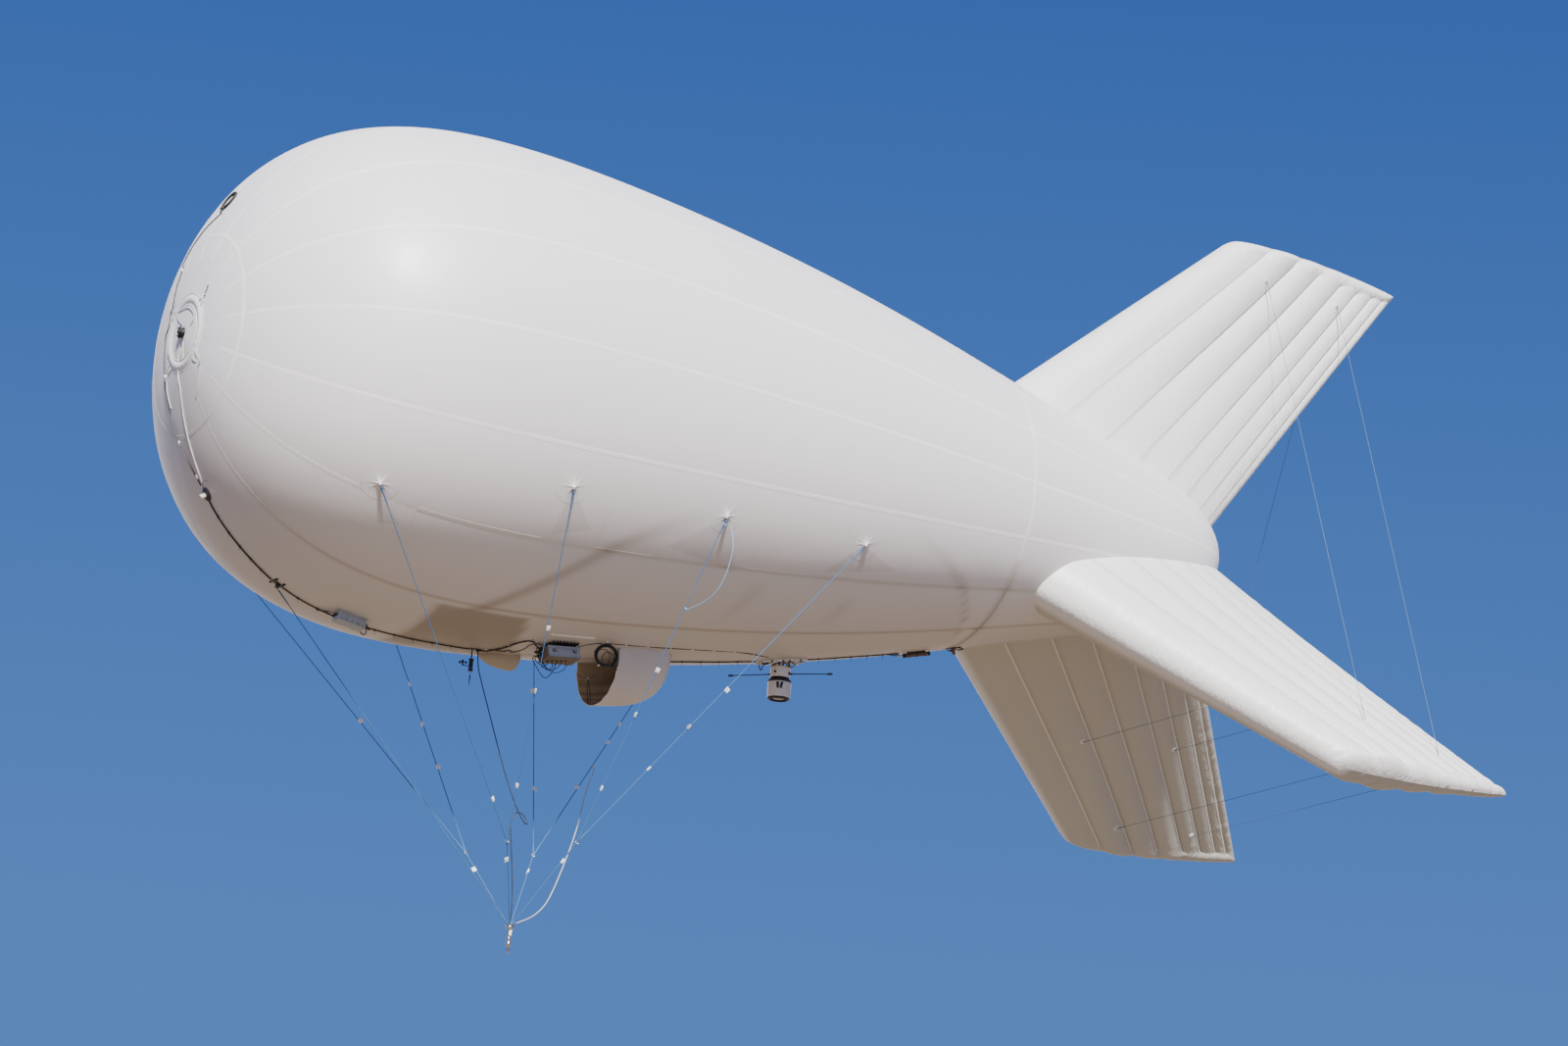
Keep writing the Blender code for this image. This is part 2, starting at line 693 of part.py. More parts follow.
def camera_mount():
    """The rails under the hull, the round base that they carry and the aerial rod through it."""
    axis_x = CAMERA_X
    place = seat(axis_x, 0.0)
    ring_z = place.translation.z - CAMERA_DROP
    frame = lying("camera_frame", CAMERA_PLATE, white_paint(), place)
    for side in (-1, 1):
        rail_at = (0, side * CAMERA_RAIL_OFFSET, CAMERA_PLATE[2] / 2 + CAMERA_RAIL[2] / 2 + 0.0005)
        rail = box("rail", CAMERA_RAIL, rail_at, white_paint(), place)
        boolean(frame, rail, "UNION")
    for x in (-CAMERA_POST_OFFSET, CAMERA_POST_OFFSET):
        for y in (-CAMERA_POST_OFFSET, CAMERA_POST_OFFSET):
            top = place @ Vector((x, y, CAMERA_PLATE[2] / 2))
            foot = (top.x, top.y, ring_z - CAMERA_DISC_DEPTH / 2)
            boolean(frame, cylinder("post", CAMERA_POST_RADIUS, top, foot, white_paint(), 8), "UNION")
    disc_top, disc_foot = (axis_x, 0, ring_z), (axis_x, 0, ring_z - CAMERA_DISC_DEPTH)
    boolean(frame, cylinder("disc", CAMERA_DISC_RADIUS, disc_top, disc_foot, white_paint(), 32), "UNION")

    def level(height):
        return Matrix.Translation((axis_x, 0, ring_z - CAMERA_DISC_DEPTH - GAP - height))

    base = [
        (0.0, 0.0),
        (0.165, 0.0),
        (CAMERA_BASE_RADIUS, -0.005),
        (CAMERA_BASE_RADIUS, -0.175),
        (0.160, -0.185),
        (0.125, -0.185),
        (0.125, -0.205),
        (0.060, -0.205),
        (0.060, -0.240),
        (0.0, -0.240),
    ]
    turned("camera_base", base, white_paint(), level(0.0), CAMERA_SIDES)
    head = [
        (0.0605, 0.0),
        (0.170, 0.0),
        (0.198, -0.010),
        (0.200, -0.020),
        (0.195, -0.300),
        (0.185, -0.330),
        (0.150, -0.345),
        (0.135, -0.345),
        (0.130, -0.335),
        (0.0, -0.335),
        (0.0, -0.0305),
        (0.0605, -0.0305),
        (0.0605, 0.0),
    ]
    turned("camera_head", head, white_paint(), level(CAMERA_HEAD_DROP), CAMERA_SIDES)
    rod_z = ring_z - CAMERA_DISC_DEPTH - AERIAL_DROP
    along = AERIAL_DIRECTION
    rod_root = CAMERA_BASE_RADIUS * math.cos(math.pi / CAMERA_SIDES) + 2 * GAP
    for name, side in (("aerial_rod_fore", -1), ("aerial_rod_aft", 1)):
        start = Vector((axis_x, 0, rod_z)) + along * side * rod_root
        end = Vector((axis_x, 0, rod_z - AERIAL_SAG)) + along * side * AERIAL_REACH
        rod = cylinder(name, AERIAL_RADIUS, start, end, black_plastic(), 12, 0.008)
        root, tip = end - along * side * 0.07, end + along * side * 0.02
        fuse(rod, cylinder("rod_tip", 0.008, root, tip, black_plastic(), 12, AERIAL_TIP_RADIUS))


def wind_sensor():
    """The arm under the belly that carries the cup rotor and a downward probe."""
    place = seat(WIND_SENSOR_X, 0.0)
    top = place.translation
    foot = lying("wind_sensor_arm", WIND_SENSOR_FOOT, black_plastic(), place)
    stem = cylinder(
        "stem", 0.012, (top.x, 0, top.z - 0.002), (top.x, 0, top.z - 0.30), black_plastic(), 10
    )
    body = box("body", WIND_SENSOR_BODY, (top.x, 0, top.z - 0.28), black_plastic())
    probe = cylinder(
        "probe", 0.010, (top.x, 0, top.z - 0.36), (top.x, 0, top.z - 0.62), black_plastic(), 8, 0.004
    )
    yard = cylinder(
        "yard", 0.008, (top.x, 0, top.z - 0.30), (top.x - CUP_REACH - 0.01, 0, top.z - 0.30), black_plastic(), 8
    )
    pin = cylinder(
        "pin",
        0.006,
        (top.x - CUP_REACH, 0, top.z - 0.305),
        (top.x - CUP_REACH, 0, top.z - 0.235),
        black_plastic(),
        12,
    )
    fuse(foot, stem, body, probe, yard, pin)
    axis = Vector((top.x - CUP_REACH, 0, top.z - 0.285))
    hub = turned(
        "cup_rotor",
        [
            (0.0, 0.070),
            (0.016, 0.070),
            (0.018, 0.064),
            (0.018, 0.0),
            (0.0068, 0.0),
            (0.0068, 0.0505),
            (0.0, 0.0505),
        ],
        black_plastic(),
        Matrix.Translation(axis),
        16,
    )
    arm_root = axis + Vector((0, 0, 0.03))
    for i in range(3):
        angle = 2 * math.pi * i / 3
        out = Vector((math.cos(angle), math.sin(angle), 0))
        half = Vector((-out.y, out.x, 0)) * 0.014
        middle = arm_root + out * 0.062
        arm = cylinder("cup_arm", 0.003, arm_root + out * 0.014, arm_root + out * 0.06, black_plastic(), 6)
        cup = cylinder("cup", CUP_RADIUS, middle + half, middle - half, black_plastic(), 12, 0.008)
        fuse(hub, arm, cup)


# Fins


def fin_point(share, span, depth, phi, overlap=0.0):
    """A point of a fin: share of the chord, share of the span, and distance off the fin's plane."""
    lead_root, lead_tip = Vector(FIN_LEAD_ROOT), Vector(FIN_LEAD_TIP)
    trail_root, trail_tip = Vector(FIN_TRAIL_ROOT), Vector(FIN_TRAIL_TIP)
    root = lead_root.lerp(trail_root, share)
    tip = lead_tip.lerp(trail_tip, share)
    flat = root.lerp(tip, span)
    angle = math.radians(phi)
    out = Vector((0, -math.sin(angle), -math.cos(angle)))
    side = Vector((0, math.cos(angle), -math.sin(angle)))
    return Vector((flat.x + NOSE_X, 0, 0)) + out * flat.y + side * depth


def fin_section():
    """(share of the chord, relative depth) from the leading to the trailing edge on one face."""
    section = [(0.0, 0.0), (0.012, 0.34), (0.05, 0.66), (0.12, 0.93), (0.20, 1.0)]
    seams = (*FIN_SEAMS, 1.0)
    for start, end in zip(seams, seams[1:]):
        width = end - start
        crest = FIN_LOBE_BULGE * width / 0.2
        section.append((start, fin_taper(start)))
        for along in (0.3, 0.7):
            share = start + width * along
            section.append((share, fin_taper(share) + crest * math.sin(math.pi * along)))
    section.append((1.0, 0.0))
    return section


def fin_taper(share):
    """Relative depth at the seams, from the big leading lobe to the thin trailing edge."""
    start, end = 0.90, FIN_TRAIL_DEPTH / FIN_ROOT_DEPTH
    return start + (end - start) * (share - FIN_SEAMS[0]) / (1 - FIN_SEAMS[0])


def fin(name, phi):
    """An inflated fin as an open tube of ruled lobes, closed at the tip and cut to the hull at its root."""
    section = fin_section()
    loop = section + [(share, -depth) for share, depth in reversed(section[1:-1])]
    root_span = -FIN_ROOT_OVERLAP
    rows = [(root_span, 1.0)]
    for step in range(4):
        angle = math.pi / 2 * step / 4
        rows.append((1.0 - FIN_TIP_ROUND * (1 - math.sin(angle)), math.cos(angle)))
    points, faces = [], []
    for span, shrink in rows:
        depth_here = FIN_ROOT_DEPTH + (FIN_TIP_DEPTH - FIN_ROOT_DEPTH) * span
        for share, depth in loop:
            points.append(fin_point(share, span, depth * depth_here * shrink, phi))
    count = len(loop)
    for row in range(len(rows) - 1):
        for i in range(count):
            j = (i + 1) % count
            a, b = row * count + i, row * count + j
            faces.append((a, b, b + count, a + count))
    top = (len(rows) - 1) * count
    half = len(section)
    rim = [fin_point(share, 1.0, 0.0, phi) for share, _ in section]
    first = len(points)
    points.extend(rim)
    for i in range(half - 1):
        faces.append((top + i, top + i + 1, first + i + 1, first + i))
        a, b = top + (count - i) % count, top + (count - i - 1) % count
        faces.append((b, a, first + i, first + i + 1))
    mesh = bpy.data.meshes.new("shape")
    mesh.from_pydata(points, [], faces)
    weld = bmesh.new()
    weld.from_mesh(mesh)
    bmesh.ops.remove_doubles(weld, verts=weld.verts, dist=0.0001)
    bmesh.ops.recalc_face_normals(weld, faces=weld.faces)
    weld.to_mesh(mesh)
    weld.free()
    obj = add(name, mesh, envelope_fabric())
    shell = obj.modifiers.new("skin", "SOLIDIFY")
    shell.thickness = SKIN
    shell.offset = -1.0
    shell.use_even_offset = True
    return obj


# Rigging


def mirrored(vector, side):
    return Vector((vector.x, side * vector.y, vector.z))


def suspension_patch(name, x, phi, target):
    """A patch glued to the hull with its lug, which points where its line pulls; returns the lug's end."""
    place = seat(x, phi)
    root = place @ Vector((0, 0, LUG_RADIUS + PATCH_THICKNESS / 2))
    pull = (target - root).normalized()
    top = (0, 0, PATCH_THICKNESS)
    pad = cylinder(name, PATCH_RADIUS, (0, 0, 0), top, white_webbing(), 14, PATCH_RADIUS * 0.96, place)
    end = root + pull * LUG_LENGTH
    fuse(pad, cylinder("lug", LUG_RADIUS, root, end, white_webbing(), 8, LUG_RADIUS * 0.7))
    return end + pull * GAP


def suspension():
    """Eight patches, and at each corner two lines that meet at a ring above one leg; then the nose line."""
    for side_name, side in (("port", -1), ("starboard", 1)):
        corners = (("fore", JUNCTION_FORE, PATCHES[:2]), ("aft", JUNCTION_AFT, PATCHES[2:]))
        for corner, junction, patches in corners:
            ring = mirrored(junction, side)
            pull = (CONFLUENCE - ring).normalized()
            foot = CONFLUENCE - pull * (CONFLUENCE_RADIUS + GAP)
            stays = ball(f"stays_{side_name}_{corner}", JUNCTION_RADIUS, ring, blue_rope(), 10)
            fuse(stays, cylinder("leg", LINE_RADIUS, ring, foot, blue_rope(), 8))
            for number, x, phi in patches:
                start = suspension_patch(f"patch_{side_name}_{number}", x, -side * phi, ring)
                fuse(stays, cylinder("line", LINE_RADIUS, start, ring, blue_rope(), 8))
    eye = mooring_eye()
    pull = (CONFLUENCE - eye).normalized()
    end = CONFLUENCE - pull * (CONFLUENCE_RADIUS + GAP)
    tube("nose_line", [eye + pull * (MOORING_EYE_LENGTH + GAP), end], LINE_RADIUS, blue_rope())


def line_of(number, side):
    """A line from the end of its patch's lug to its ring."""
    name, x, phi = PATCHES[number]
    ring = mirrored(JUNCTION_AFT, side)
    root = seat(x, -side * phi) @ Vector((0, 0, LUG_RADIUS + PATCH_THICKNESS / 2))
    return root + (ring - root).normalized() * (LUG_LENGTH + GAP), ring


def slack_ropes():
    """The slack rope from a starboard line to the confluence, and the slack loop beside a port line."""
    start, ring = line_of(3, 1)
    run = (ring - start).normalized()
    below = (run.cross(Vector((0, 0, 1))).cross(run)).normalized() * -1
    top = start.lerp(ring, SLACK_ROPE_SHARE)
    pull = Vector((0.78, 0.0, 0.62)).normalized()
    stops = [
        *[top + below * (LINE_RADIUS + 2 * GAP + step) for step in ROPE_STEPS],
        (1.262, 1.452, -5.47),
        (1.215, 1.425, -5.57),
        (1.155, 1.385, -5.70),
        (1.020, 1.250, -6.00),
        (0.721, 0.881, -6.684),
        (0.343, 0.558, -7.457),
        (0.001, 0.294, -8.043),
        (-0.30, 0.140, -8.345),
        (-0.599, 0.044, -8.515),
        CONFLUENCE + pull * (CONFLUENCE_RADIUS + 0.04),
        CONFLUENCE + pull * (CONFLUENCE_RADIUS + GAP),
    ]
    tube("slack_rope", smooth_route(stops, 70), SLACK_ROPE_RADIUS, white_webbing())
    start, ring = line_of(2, -1)
    run = (ring - start).normalized()
    below = (run.cross(Vector((0, 0, 1))).cross(run)).normalized() * -1
    foot = start.lerp(ring, LOOP_SHARE)
    top = start + run * 0.04
    stops = [
        *[top + below * (LINE_RADIUS + 2 * GAP + step) for step in ROPE_STEPS],
        (0.832, -3.385, -2.17),
        (0.845, -3.425, -2.26),
        (0.862, -3.476, -2.464),
        (0.863, -3.477, -2.677),
        (0.832, -3.389, -2.995),
        (0.778, -3.236, -3.256),
        (0.700, -3.012, -3.410),
        (0.640, -2.840, -3.465),
        *[foot + below * (LINE_RADIUS + 2 * GAP + step) for step in reversed(ROPE_STEPS)],
    ]
    tube("slack_loop", smooth_route(stops, 60), LOOP_RADIUS, blue_rope())


def confluence():
    """The fitting that gathers the legs, and the swivel below it that the tether would hang on."""
    gather = ball("confluence_fitting", CONFLUENCE_RADIUS, CONFLUENCE, steel(), 24)

    def below(drop):
        return CONFLUENCE - Vector((0, 0, drop))

    shaft = cylinder("shaft", SWIVEL_SHAFT_RADIUS, below(0.05), below(0.16), steel(), 16)
    pin = cylinder("pin", SWIVEL_PIN_RADIUS, below(0.15), below(0.215), steel(), 16)
    fuse(gather, shaft, pin)
    turned(
        "tether_swivel",
        [
            (0.0190, 0.0),
            (0.040, 0.0),
            (0.045, -0.006),
            (0.045, -0.13),
            (0.026, -0.16),
            (0.022, -0.26),
            (0.0, -0.26),
            (0.0, -0.0505),
            (0.0190, -0.0505),
            (0.0190, 0.0),
        ],
        steel(),
        Matrix.Translation(below(SWIVEL_DROP)),
        16,
    )


def fin_guys(fins):
    """Guys from the top fin to each lower fin, and between the lower fins, with a pad at each end."""
    bpy.context.view_layer.update()
    graph = bpy.context.evaluated_depsgraph_get()

    def pad_on(name, spot, face):
        """The fin's own surface and normal at a (chord share, span share) spot on one face."""
        near = fin_point(*spot, face * 0.5, FIN_PHI[name])
        _, point, normal, _ = fins[name].evaluated_get(graph).closest_point_on_mesh(near)
        return point + normal * GUY_PAD_LIFT, normal

    runs = []
    for side, face in (("port", 1), ("starboard", -1)):
        for number, (high, low) in enumerate(zip(GUY_HIGH, GUY_HIGH_LOWER_END), 1):
            runs.append((f"guy_{side}_high_{number}", ("top", high, face), (side, low, -face)))
    for number, spot in enumerate(GUY_LOW, 1):
        runs.append((f"guy_low_{number}", ("port", spot, 1), ("starboard", spot, -1)))
    made = []
    for name, first, second in runs:
        made.append((name, pad_on(*first), pad_on(*second)))
    for name, (start, start_normal), (end, end_normal) in made:
        pull = (end - start).normalized()
        wire = cylinder(
            name,
            GUY_RADIUS,
            start + start_normal * 0.006 + pull * 0.003,
            end + end_normal * 0.006 - pull * 0.003,
            blue_rope(),
            6,
        )
        for point, normal in ((start, start_normal), (end, end_normal)):
            pad = cylinder("pad", GUY_PAD_RADIUS, point, point + normal * 0.012, white_webbing(), 10)
            boolean(wire, pad, "UNION")


def build():
    clear_scene()
    hull_cut = hull_skin("hull_cut", GAP)
    make_cutter(hull_cut)
    envelope()
    nose_parts()
    keel_cables()
    fittings()
    main_box()
    cable_coil()
    scoop = ellipse_hood("air_scoop", SCOOP, envelope_fabric())
    boolean(scoop, hull_cut)
    vent = ellipse_hood("vent_hood", VENT, envelope_fabric())
    boolean(vent, hull_cut)
    camera_mount()
    wind_sensor()
    fins = {name: boolean(fin(f"fin_{name}", phi), hull_cut) for name, phi in FIN_PHI.items()}
    fin_guys(fins)
    loose_cables()
    suspension()
    slack_ropes()
    confluence()


build()
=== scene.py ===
"""Looks of the tethered aerostat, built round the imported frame.

Units are metres, +Z up. The hull's axis is X with the nose at -X, and port is -Y.
An angle phi goes up from the keel to port.
"""

import math

import bmesh
import bpy
from mathutils import Matrix, Vector, noise


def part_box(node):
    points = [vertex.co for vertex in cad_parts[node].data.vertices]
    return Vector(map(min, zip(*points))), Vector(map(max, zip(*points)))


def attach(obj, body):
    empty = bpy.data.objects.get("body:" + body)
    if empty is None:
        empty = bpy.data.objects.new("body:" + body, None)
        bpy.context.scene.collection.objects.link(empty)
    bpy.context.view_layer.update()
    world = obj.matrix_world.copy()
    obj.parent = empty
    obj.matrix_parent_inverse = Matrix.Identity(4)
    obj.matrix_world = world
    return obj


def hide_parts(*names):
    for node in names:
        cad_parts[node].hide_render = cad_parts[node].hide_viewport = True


# Camera: where it stands, what lies at the middle of the frame, and which way is up in it
CAMERA_PLACE = Vector((-44.449, -85.819, -27.087))
CAMERA_AIM = Vector((3.555, -0.311, -1.012))
CAMERA_UP = Vector((-0.1978, -0.1953, 0.9606))
CAMERA_LENS = 138.0
CAMERA_HEIGHT = 0.6
SENSOR_WIDTH = 36.0
FAR_CLIP = 3000.0

# Sky: the sines of the elevations between which it deepens, and its colours there
SKY_HEIGHTS = (0.182, 0.35)
SKY_LOW = (0.085, 0.225, 0.62)
SKY_HIGH = (0.038, 0.12, 0.46)

# Each sun's strength, width in degrees, colour, and the way to it
KEY_SUN = (10.5, 4.0, (1.0, 0.965, 0.92), (-0.307, -0.694, 0.650))
FILL_SUN = (1.2, 60.0, (1.0, 0.90, 0.76), (0.30, 0.85, 0.30))
FLOOR_COLOUR = (0.20, 0.15, 0.10)
FLOOR_HALF = 900.0

# Hull
HULL_LENGTH = 20.0
NOSE_X = -7.6
HULL_SHAPE = (0.549, 0.157, 0.121, 0.145, 0.010, 0.088)
HULL_INSET = 0.004
GORES = 16
GORE_COLUMNS = 20
HULL_ROWS = 236
GORE_BULGE = 0.006
GORE_ANGLE = 360.0 / GORES
HULL_THREADS = 260.0
# The colour that the painted shade on the hull and its tapes darkens toward
PAINTED_SHADE_TINT = (0.27, 0.22, 0.155)
TAPE_WIDTH = 0.07
TAPE_RISE = 0.0025
NOSE_SEAM = 0.0135
TAIL_SEAM = 0.738

# Fins, as (distance aft of the nose, distance from the hull's axis)
FIN_LEAD_ROOT = Vector((15.45, 2.28))
FIN_LEAD_TIP = Vector((20.03, 6.07))
FIN_TRAIL_TIP = Vector((23.64, 5.80))
FIN_TRAIL_ROOT = Vector((19.84, 0.60))
FIN_SEAMS = (0.22, 0.405, 0.56, 0.705, 0.81, 0.897, 0.957)
FIN_CROWN = 0.15
FIN_ROOT_DEPTH = 0.50
FIN_TIP_DEPTH = 0.31
FIN_TRAIL_SHARE = 0.13
FIN_LOBE_BULGE = 0.34
FIN_FULLNESS = 1.40
FIN_TIP_BOW = 0.11
FIN_TIP_RADIUS = 0.19
FIN_TIP_LEAST = 0.06
FIN_REACH = 5.9
FIN_TAPE_WIDTH = 0.032
FIN_PHI = {"top": 180.0, "port": 45.0, "starboard": -45.0}
FIN_ROWS = 150

# Nose
HOOP_X = -7.02
HOOP_RADIUS = 0.165
HOOP_THICKNESS = 0.018
LAMP_X = -6.896
MOORING_X = -5.51

# Payload on the belly
FORWARD_BOX_X = -4.28
FORWARD_BOX_PHI = 3.5
WIND_SENSOR_X = -1.92
ROTOR_OFFSET = 0.15
CLAMP_X = -1.815
CLAMP_SIZE = (0.06, 0.05, 0.04)
MAIN_BOX_X = -0.67
MAIN_BOX_PHI = 9.0
MAIN_BOX_SIZE = (0.61, 0.37, 0.21)
MAIN_BOX_LIFT = 0.05
COIL_X = 0.05
COIL_PHI = 14.0
COIL_DROP = 0.245
COIL_TURN = math.radians(20)
CAMERA_X = 3.88
HARNESS_RADIUS = 0.012
HARNESS_LIFT = 0.006
POWER_CABLE_RADIUS = 0.009
COIL_CABLE_RADIUS = 0.0085
GAP = 0.0003

# Belly hoods: mouth position, length to the closed end (negative runs forward), middle, half width and
# depth; the fullness is 2 for an ellipse and more for a squarer back
SCOOP = {"mouth": 0.42, "reach": 1.17, "middle": 0.0, "half_width": 0.75, "depth": 0.78, "fullness": 3.6}
VENT = {"mouth": -0.98, "reach": -0.64, "middle": 0.36, "half_width": 0.28, "depth": 0.22, "fullness": 1.6}
HOOD_SKIN = 0.008
HOOD_ROUNDING = 0.92
AIR_INLET_X = 0.95
AIR_INLET_RADIUS = 0.20

# Suspension: (name, distance aft of the origin, angle up from the keel), and where the lines meet
PATCHES = (("one", -5.23, 48.0), ("two", -2.17, 58.7), ("three", 0.80, 58.6), ("four", 3.73, 56.9))
JUNCTION_FORE = Vector((-1.34, 0.72, -7.40))
JUNCTION_AFT = Vector((-0.09, 0.75, -7.22))
CONFLUENCE = Vector((-0.79, 0.0, -8.64))
CONFLUENCE_RADIUS = 0.07
STAY_RADIUS = 0.0075
PATCH_REACH = 0.30
LUG_LIFT = 0.040
LUG_REACH = 0.100
SLACK_ROPE_SHARE = 0.648
SLACK_ROPE_RADIUS = 0.009
LOOP_SHARE = 0.268
LOOP_RADIUS = 0.007
ROPE_STEPS = (0.0, 0.012, 0.03, 0.06)

# Fin guys, as (share of the chord, share of the span) on a fin
GUY_HIGH = ((0.345, 0.843), (0.762, 0.872))
GUY_HIGH_LOWER_END = ((0.536, 0.752), (0.816, 0.858))
GUY_LOW = ((0.352, 0.472), (0.779, 0.539), (0.352, 0.854), (0.772, 0.885))
GUY_ROPE_RADIUS = 0.0042


def link(obj):
    bpy.context.scene.collection.objects.link(obj)
    return obj


def wear(obj, slot, *nodes, body="airframe"):
    """Puts a piece on its body and lets it stand for CAD nodes; the slot is not used."""
    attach(obj, body)
    if nodes:
        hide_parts(*nodes)
    return obj


# Materials


class Look:
    """A Principled material built up from layers of colour, roughness and bump."""

    def __init__(self, name, colour, roughness, metallic=0.0, **sockets):
        self.material = bpy.data.materials.new(name)
        self.material.use_nodes = True
        self.tree = self.material.node_tree
        self.shader = self.tree.nodes["Principled BSDF"]
        self.shader.inputs["Base Color"].default_value = (*colour, 1.0)
        self.shader.inputs["Roughness"].default_value = roughness
        self.shader.inputs["Metallic"].default_value = metallic
        for socket, value in sockets.items():
            self.shader.inputs[socket.replace("_", " ")].default_value = value
        self.place = self.tree.nodes.new("ShaderNodeTexCoord").outputs["Object"]

    def node(self, kind, **inputs):
        made = self.tree.nodes.new(kind)
        for socket, value in inputs.items():
            self.feed(made.inputs[socket.replace("_", " ")], value)
        return made

    def feed(self, socket, value):
        if isinstance(value, bpy.types.NodeSocket):
            self.tree.links.new(value, socket)
        else:
            socket.default_value = value

    def source(self, socket):
        """What feeds a shader's socket now: its link, or else its value."""
        found = self.shader.inputs[socket]
        if found.is_linked:
            return found.links[0].from_socket
        value = found.default_value
        return value if isinstance(value, float) else tuple(value)

    def stretched(self, scale, source=None):
        made = self.node("ShaderNodeMapping", Vector=source or self.place, Scale=scale)
        return made.outputs["Vector"]

    def noise(self, scale, detail=3.0, rough=0.5, source=None):
        made = self.node(
            "ShaderNodeTexNoise", Vector=source or self.place, Scale=scale, Detail=detail, Roughness=rough
        )
        return made.outputs["Fac"]

    def wave(self, scale, direction="X", distortion=0.0, source=None):
        made = self.node("ShaderNodeTexWave", Vector=source or self.place, Scale=scale, Distortion=distortion)
        made.bands_direction = direction
        return made.outputs["Fac"]

    def ramp(self, value, low, high, start=0.0, end=1.0):
        made = self.node("ShaderNodeMapRange", Value=value)
        for socket, number in zip(("From Min", "From Max", "To Min", "To Max"), (low, high, start, end)):
            made.inputs[socket].default_value = number
        return made.outputs["Result"]

    def math(self, operation, first, second=0.0):
        made = self.tree.nodes.new("ShaderNodeMath")
        made.operation = operation
        self.feed(made.inputs[0], first)
        self.feed(made.inputs[1], second)
        return made.outputs[0]

    def attribute(self, name):
        made = self.tree.nodes.new("ShaderNodeAttribute")
        made.attribute_name = name
        return made.outputs["Fac"]

    def tint(self, factor, colour):
        """Mixes a colour over the one before, by factor."""
        made = self.tree.nodes.new("ShaderNodeMix")
        made.data_type = "RGBA"
        self.feed(made.inputs[0], factor)
        self.feed(made.inputs[6], self.source("Base Color"))
        self.feed(made.inputs[7], (*colour, 1.0))
        self.feed(self.shader.inputs["Base Color"], made.outputs[2])
        return self

    def rough(self, value, low, high, start, end):
        self.feed(self.shader.inputs["Roughness"], self.ramp(value, low, high, start, end))
        return self

    def bump(self, height, strength, distance):
        before = self.shader.inputs["Normal"]
        made = self.node("ShaderNodeBump", Height=height, Strength=strength, Distance=distance)
        if before.is_linked:
            self.feed(made.inputs["Normal"], before.links[0].from_socket)
        self.feed(before, made.outputs["Normal"])
        return self


def weave(look, scale, strength, distance):
    """A plain weave: two crossed sets of threads."""
    warp = look.wave(scale, "X")
    weft = look.wave(scale, "Z")
    return look.bump(look.math("MULTIPLY", warp, weft), strength, distance)


def envelope_look(name):
    """Coated hull fabric: soft gloss, faint mottling, the ballonet's painted shadow and painted shade on the
    belly that deepens toward the keel.
    """
    look = Look(name, (0.80, 0.785, 0.79), 0.40, Coat_Weight=0.06, Coat_Roughness=0.40)
    look.tint(look.ramp(look.noise(0.35, 4.0), 0.42, 0.72, 0.0, 0.12), (0.66, 0.65, 0.67))
    look.tint(look.attribute("shade"), PAINTED_SHADE_TINT)
    specks = look.ramp(look.noise(2.6, 6.0, 0.7), 0.66, 0.74, 0.0, 0.10)
    look.tint(specks, (0.42, 0.38, 0.34))
    look.rough(look.noise(1.4, 3.0), 0.3, 0.7, 0.38, 0.48)
    look.bump(look.noise(1.1, 2.0), 0.25, 0.02)
    look.bump(look.noise(9.0, 3.0), 0.06, 0.01)
    return weave(look, HULL_THREADS, 0.03, 0.001).material


def tape_look():
    """Seam tape welded over the joints: whiter than the fabric where the sky lights it."""
    look = Look("seam_tape", (0.90, 0.88, 0.86), 0.42)
    look.tint(look.attribute("shade"), PAINTED_SHADE_TINT)
    look.bump(look.noise(14.0, 3.0), 0.15, 0.004)
    return weave(look, HULL_THREADS, 0.03, 0.001).material


def fin_look():
    """Fin fabric: the hull's cloth, drier, creased across its seams."""
    look = Look("fin_fabric", (0.80, 0.80, 0.785), 0.42, Coat_Weight=0.08, Coat_Roughness=0.3)
    look.tint(look.ramp(look.noise(0.8, 4.0), 0.40, 0.72, 0.0, 0.14), (0.67, 0.67, 0.66))
    # Painted shade: darker along each seam's valley
    look.tint(look.attribute("valley_shade"), (0.50, 0.50, 0.49))
    # Painted shade on the underside face of the lower fins
    look.tint(look.attribute("shade"), (0.30, 0.29, 0.23))
    creases = look.noise(1.0, 4.0, 0.6, look.stretched((16.0, 16.0, 3.0)))
    look.bump(look.math("MULTIPLY", creases, look.attribute("crease")), 0.55, 0.03)
    look.bump(look.noise(3.0, 3.0), 0.10, 0.02)
    return weave(look, HULL_THREADS, 0.03, 0.001).material


# Hull form


def hull_radius(aft):
    """The hull's radius at a distance aft of the nose: a class function times a shape function."""
    share = min(max(aft / HULL_LENGTH, 0.0), 1.0)
    order = len(HULL_SHAPE) - 1
    shape = sum(
        math.comb(order, i) * share**i * (1 - share) ** (order - i) * weight
        for i, weight in enumerate(HULL_SHAPE)
    )
    return HULL_LENGTH * math.sqrt(max(share * (1 - share) * shape, 0.0))


def hull_normal(x, phi):
    """The outward direction of the smooth hull."""
    step = 0.02
    aft = min(max(x - NOSE_X, step), HULL_LENGTH - step)
    slope = (hull_radius(aft + step) - hull_radius(aft - step)) / (2 * step)
    angle = math.radians(phi)
    return Vector((-slope, -math.sin(angle), -math.cos(angle))).normalized()


def on_hull(x, phi, lift=0.0):
    """A point of the smooth hull, lifted off it."""
    radius = hull_radius(x - NOSE_X)
    angle = math.radians(phi)
    point = Vector((x, -radius * math.sin(angle), -radius * math.cos(angle)))
    return point + hull_normal(x, phi) * (lift - HULL_INSET)


def gore_bulge(x, phi):
    """How far the filled fabric stands out between two seams."""
    across = (phi * GORES / 360.0) % 1.0 * 2 - 1
    return GORE_BULGE * min(hull_radius(x - NOSE_X) / 3.0, 1.0) * (1 - across**2)


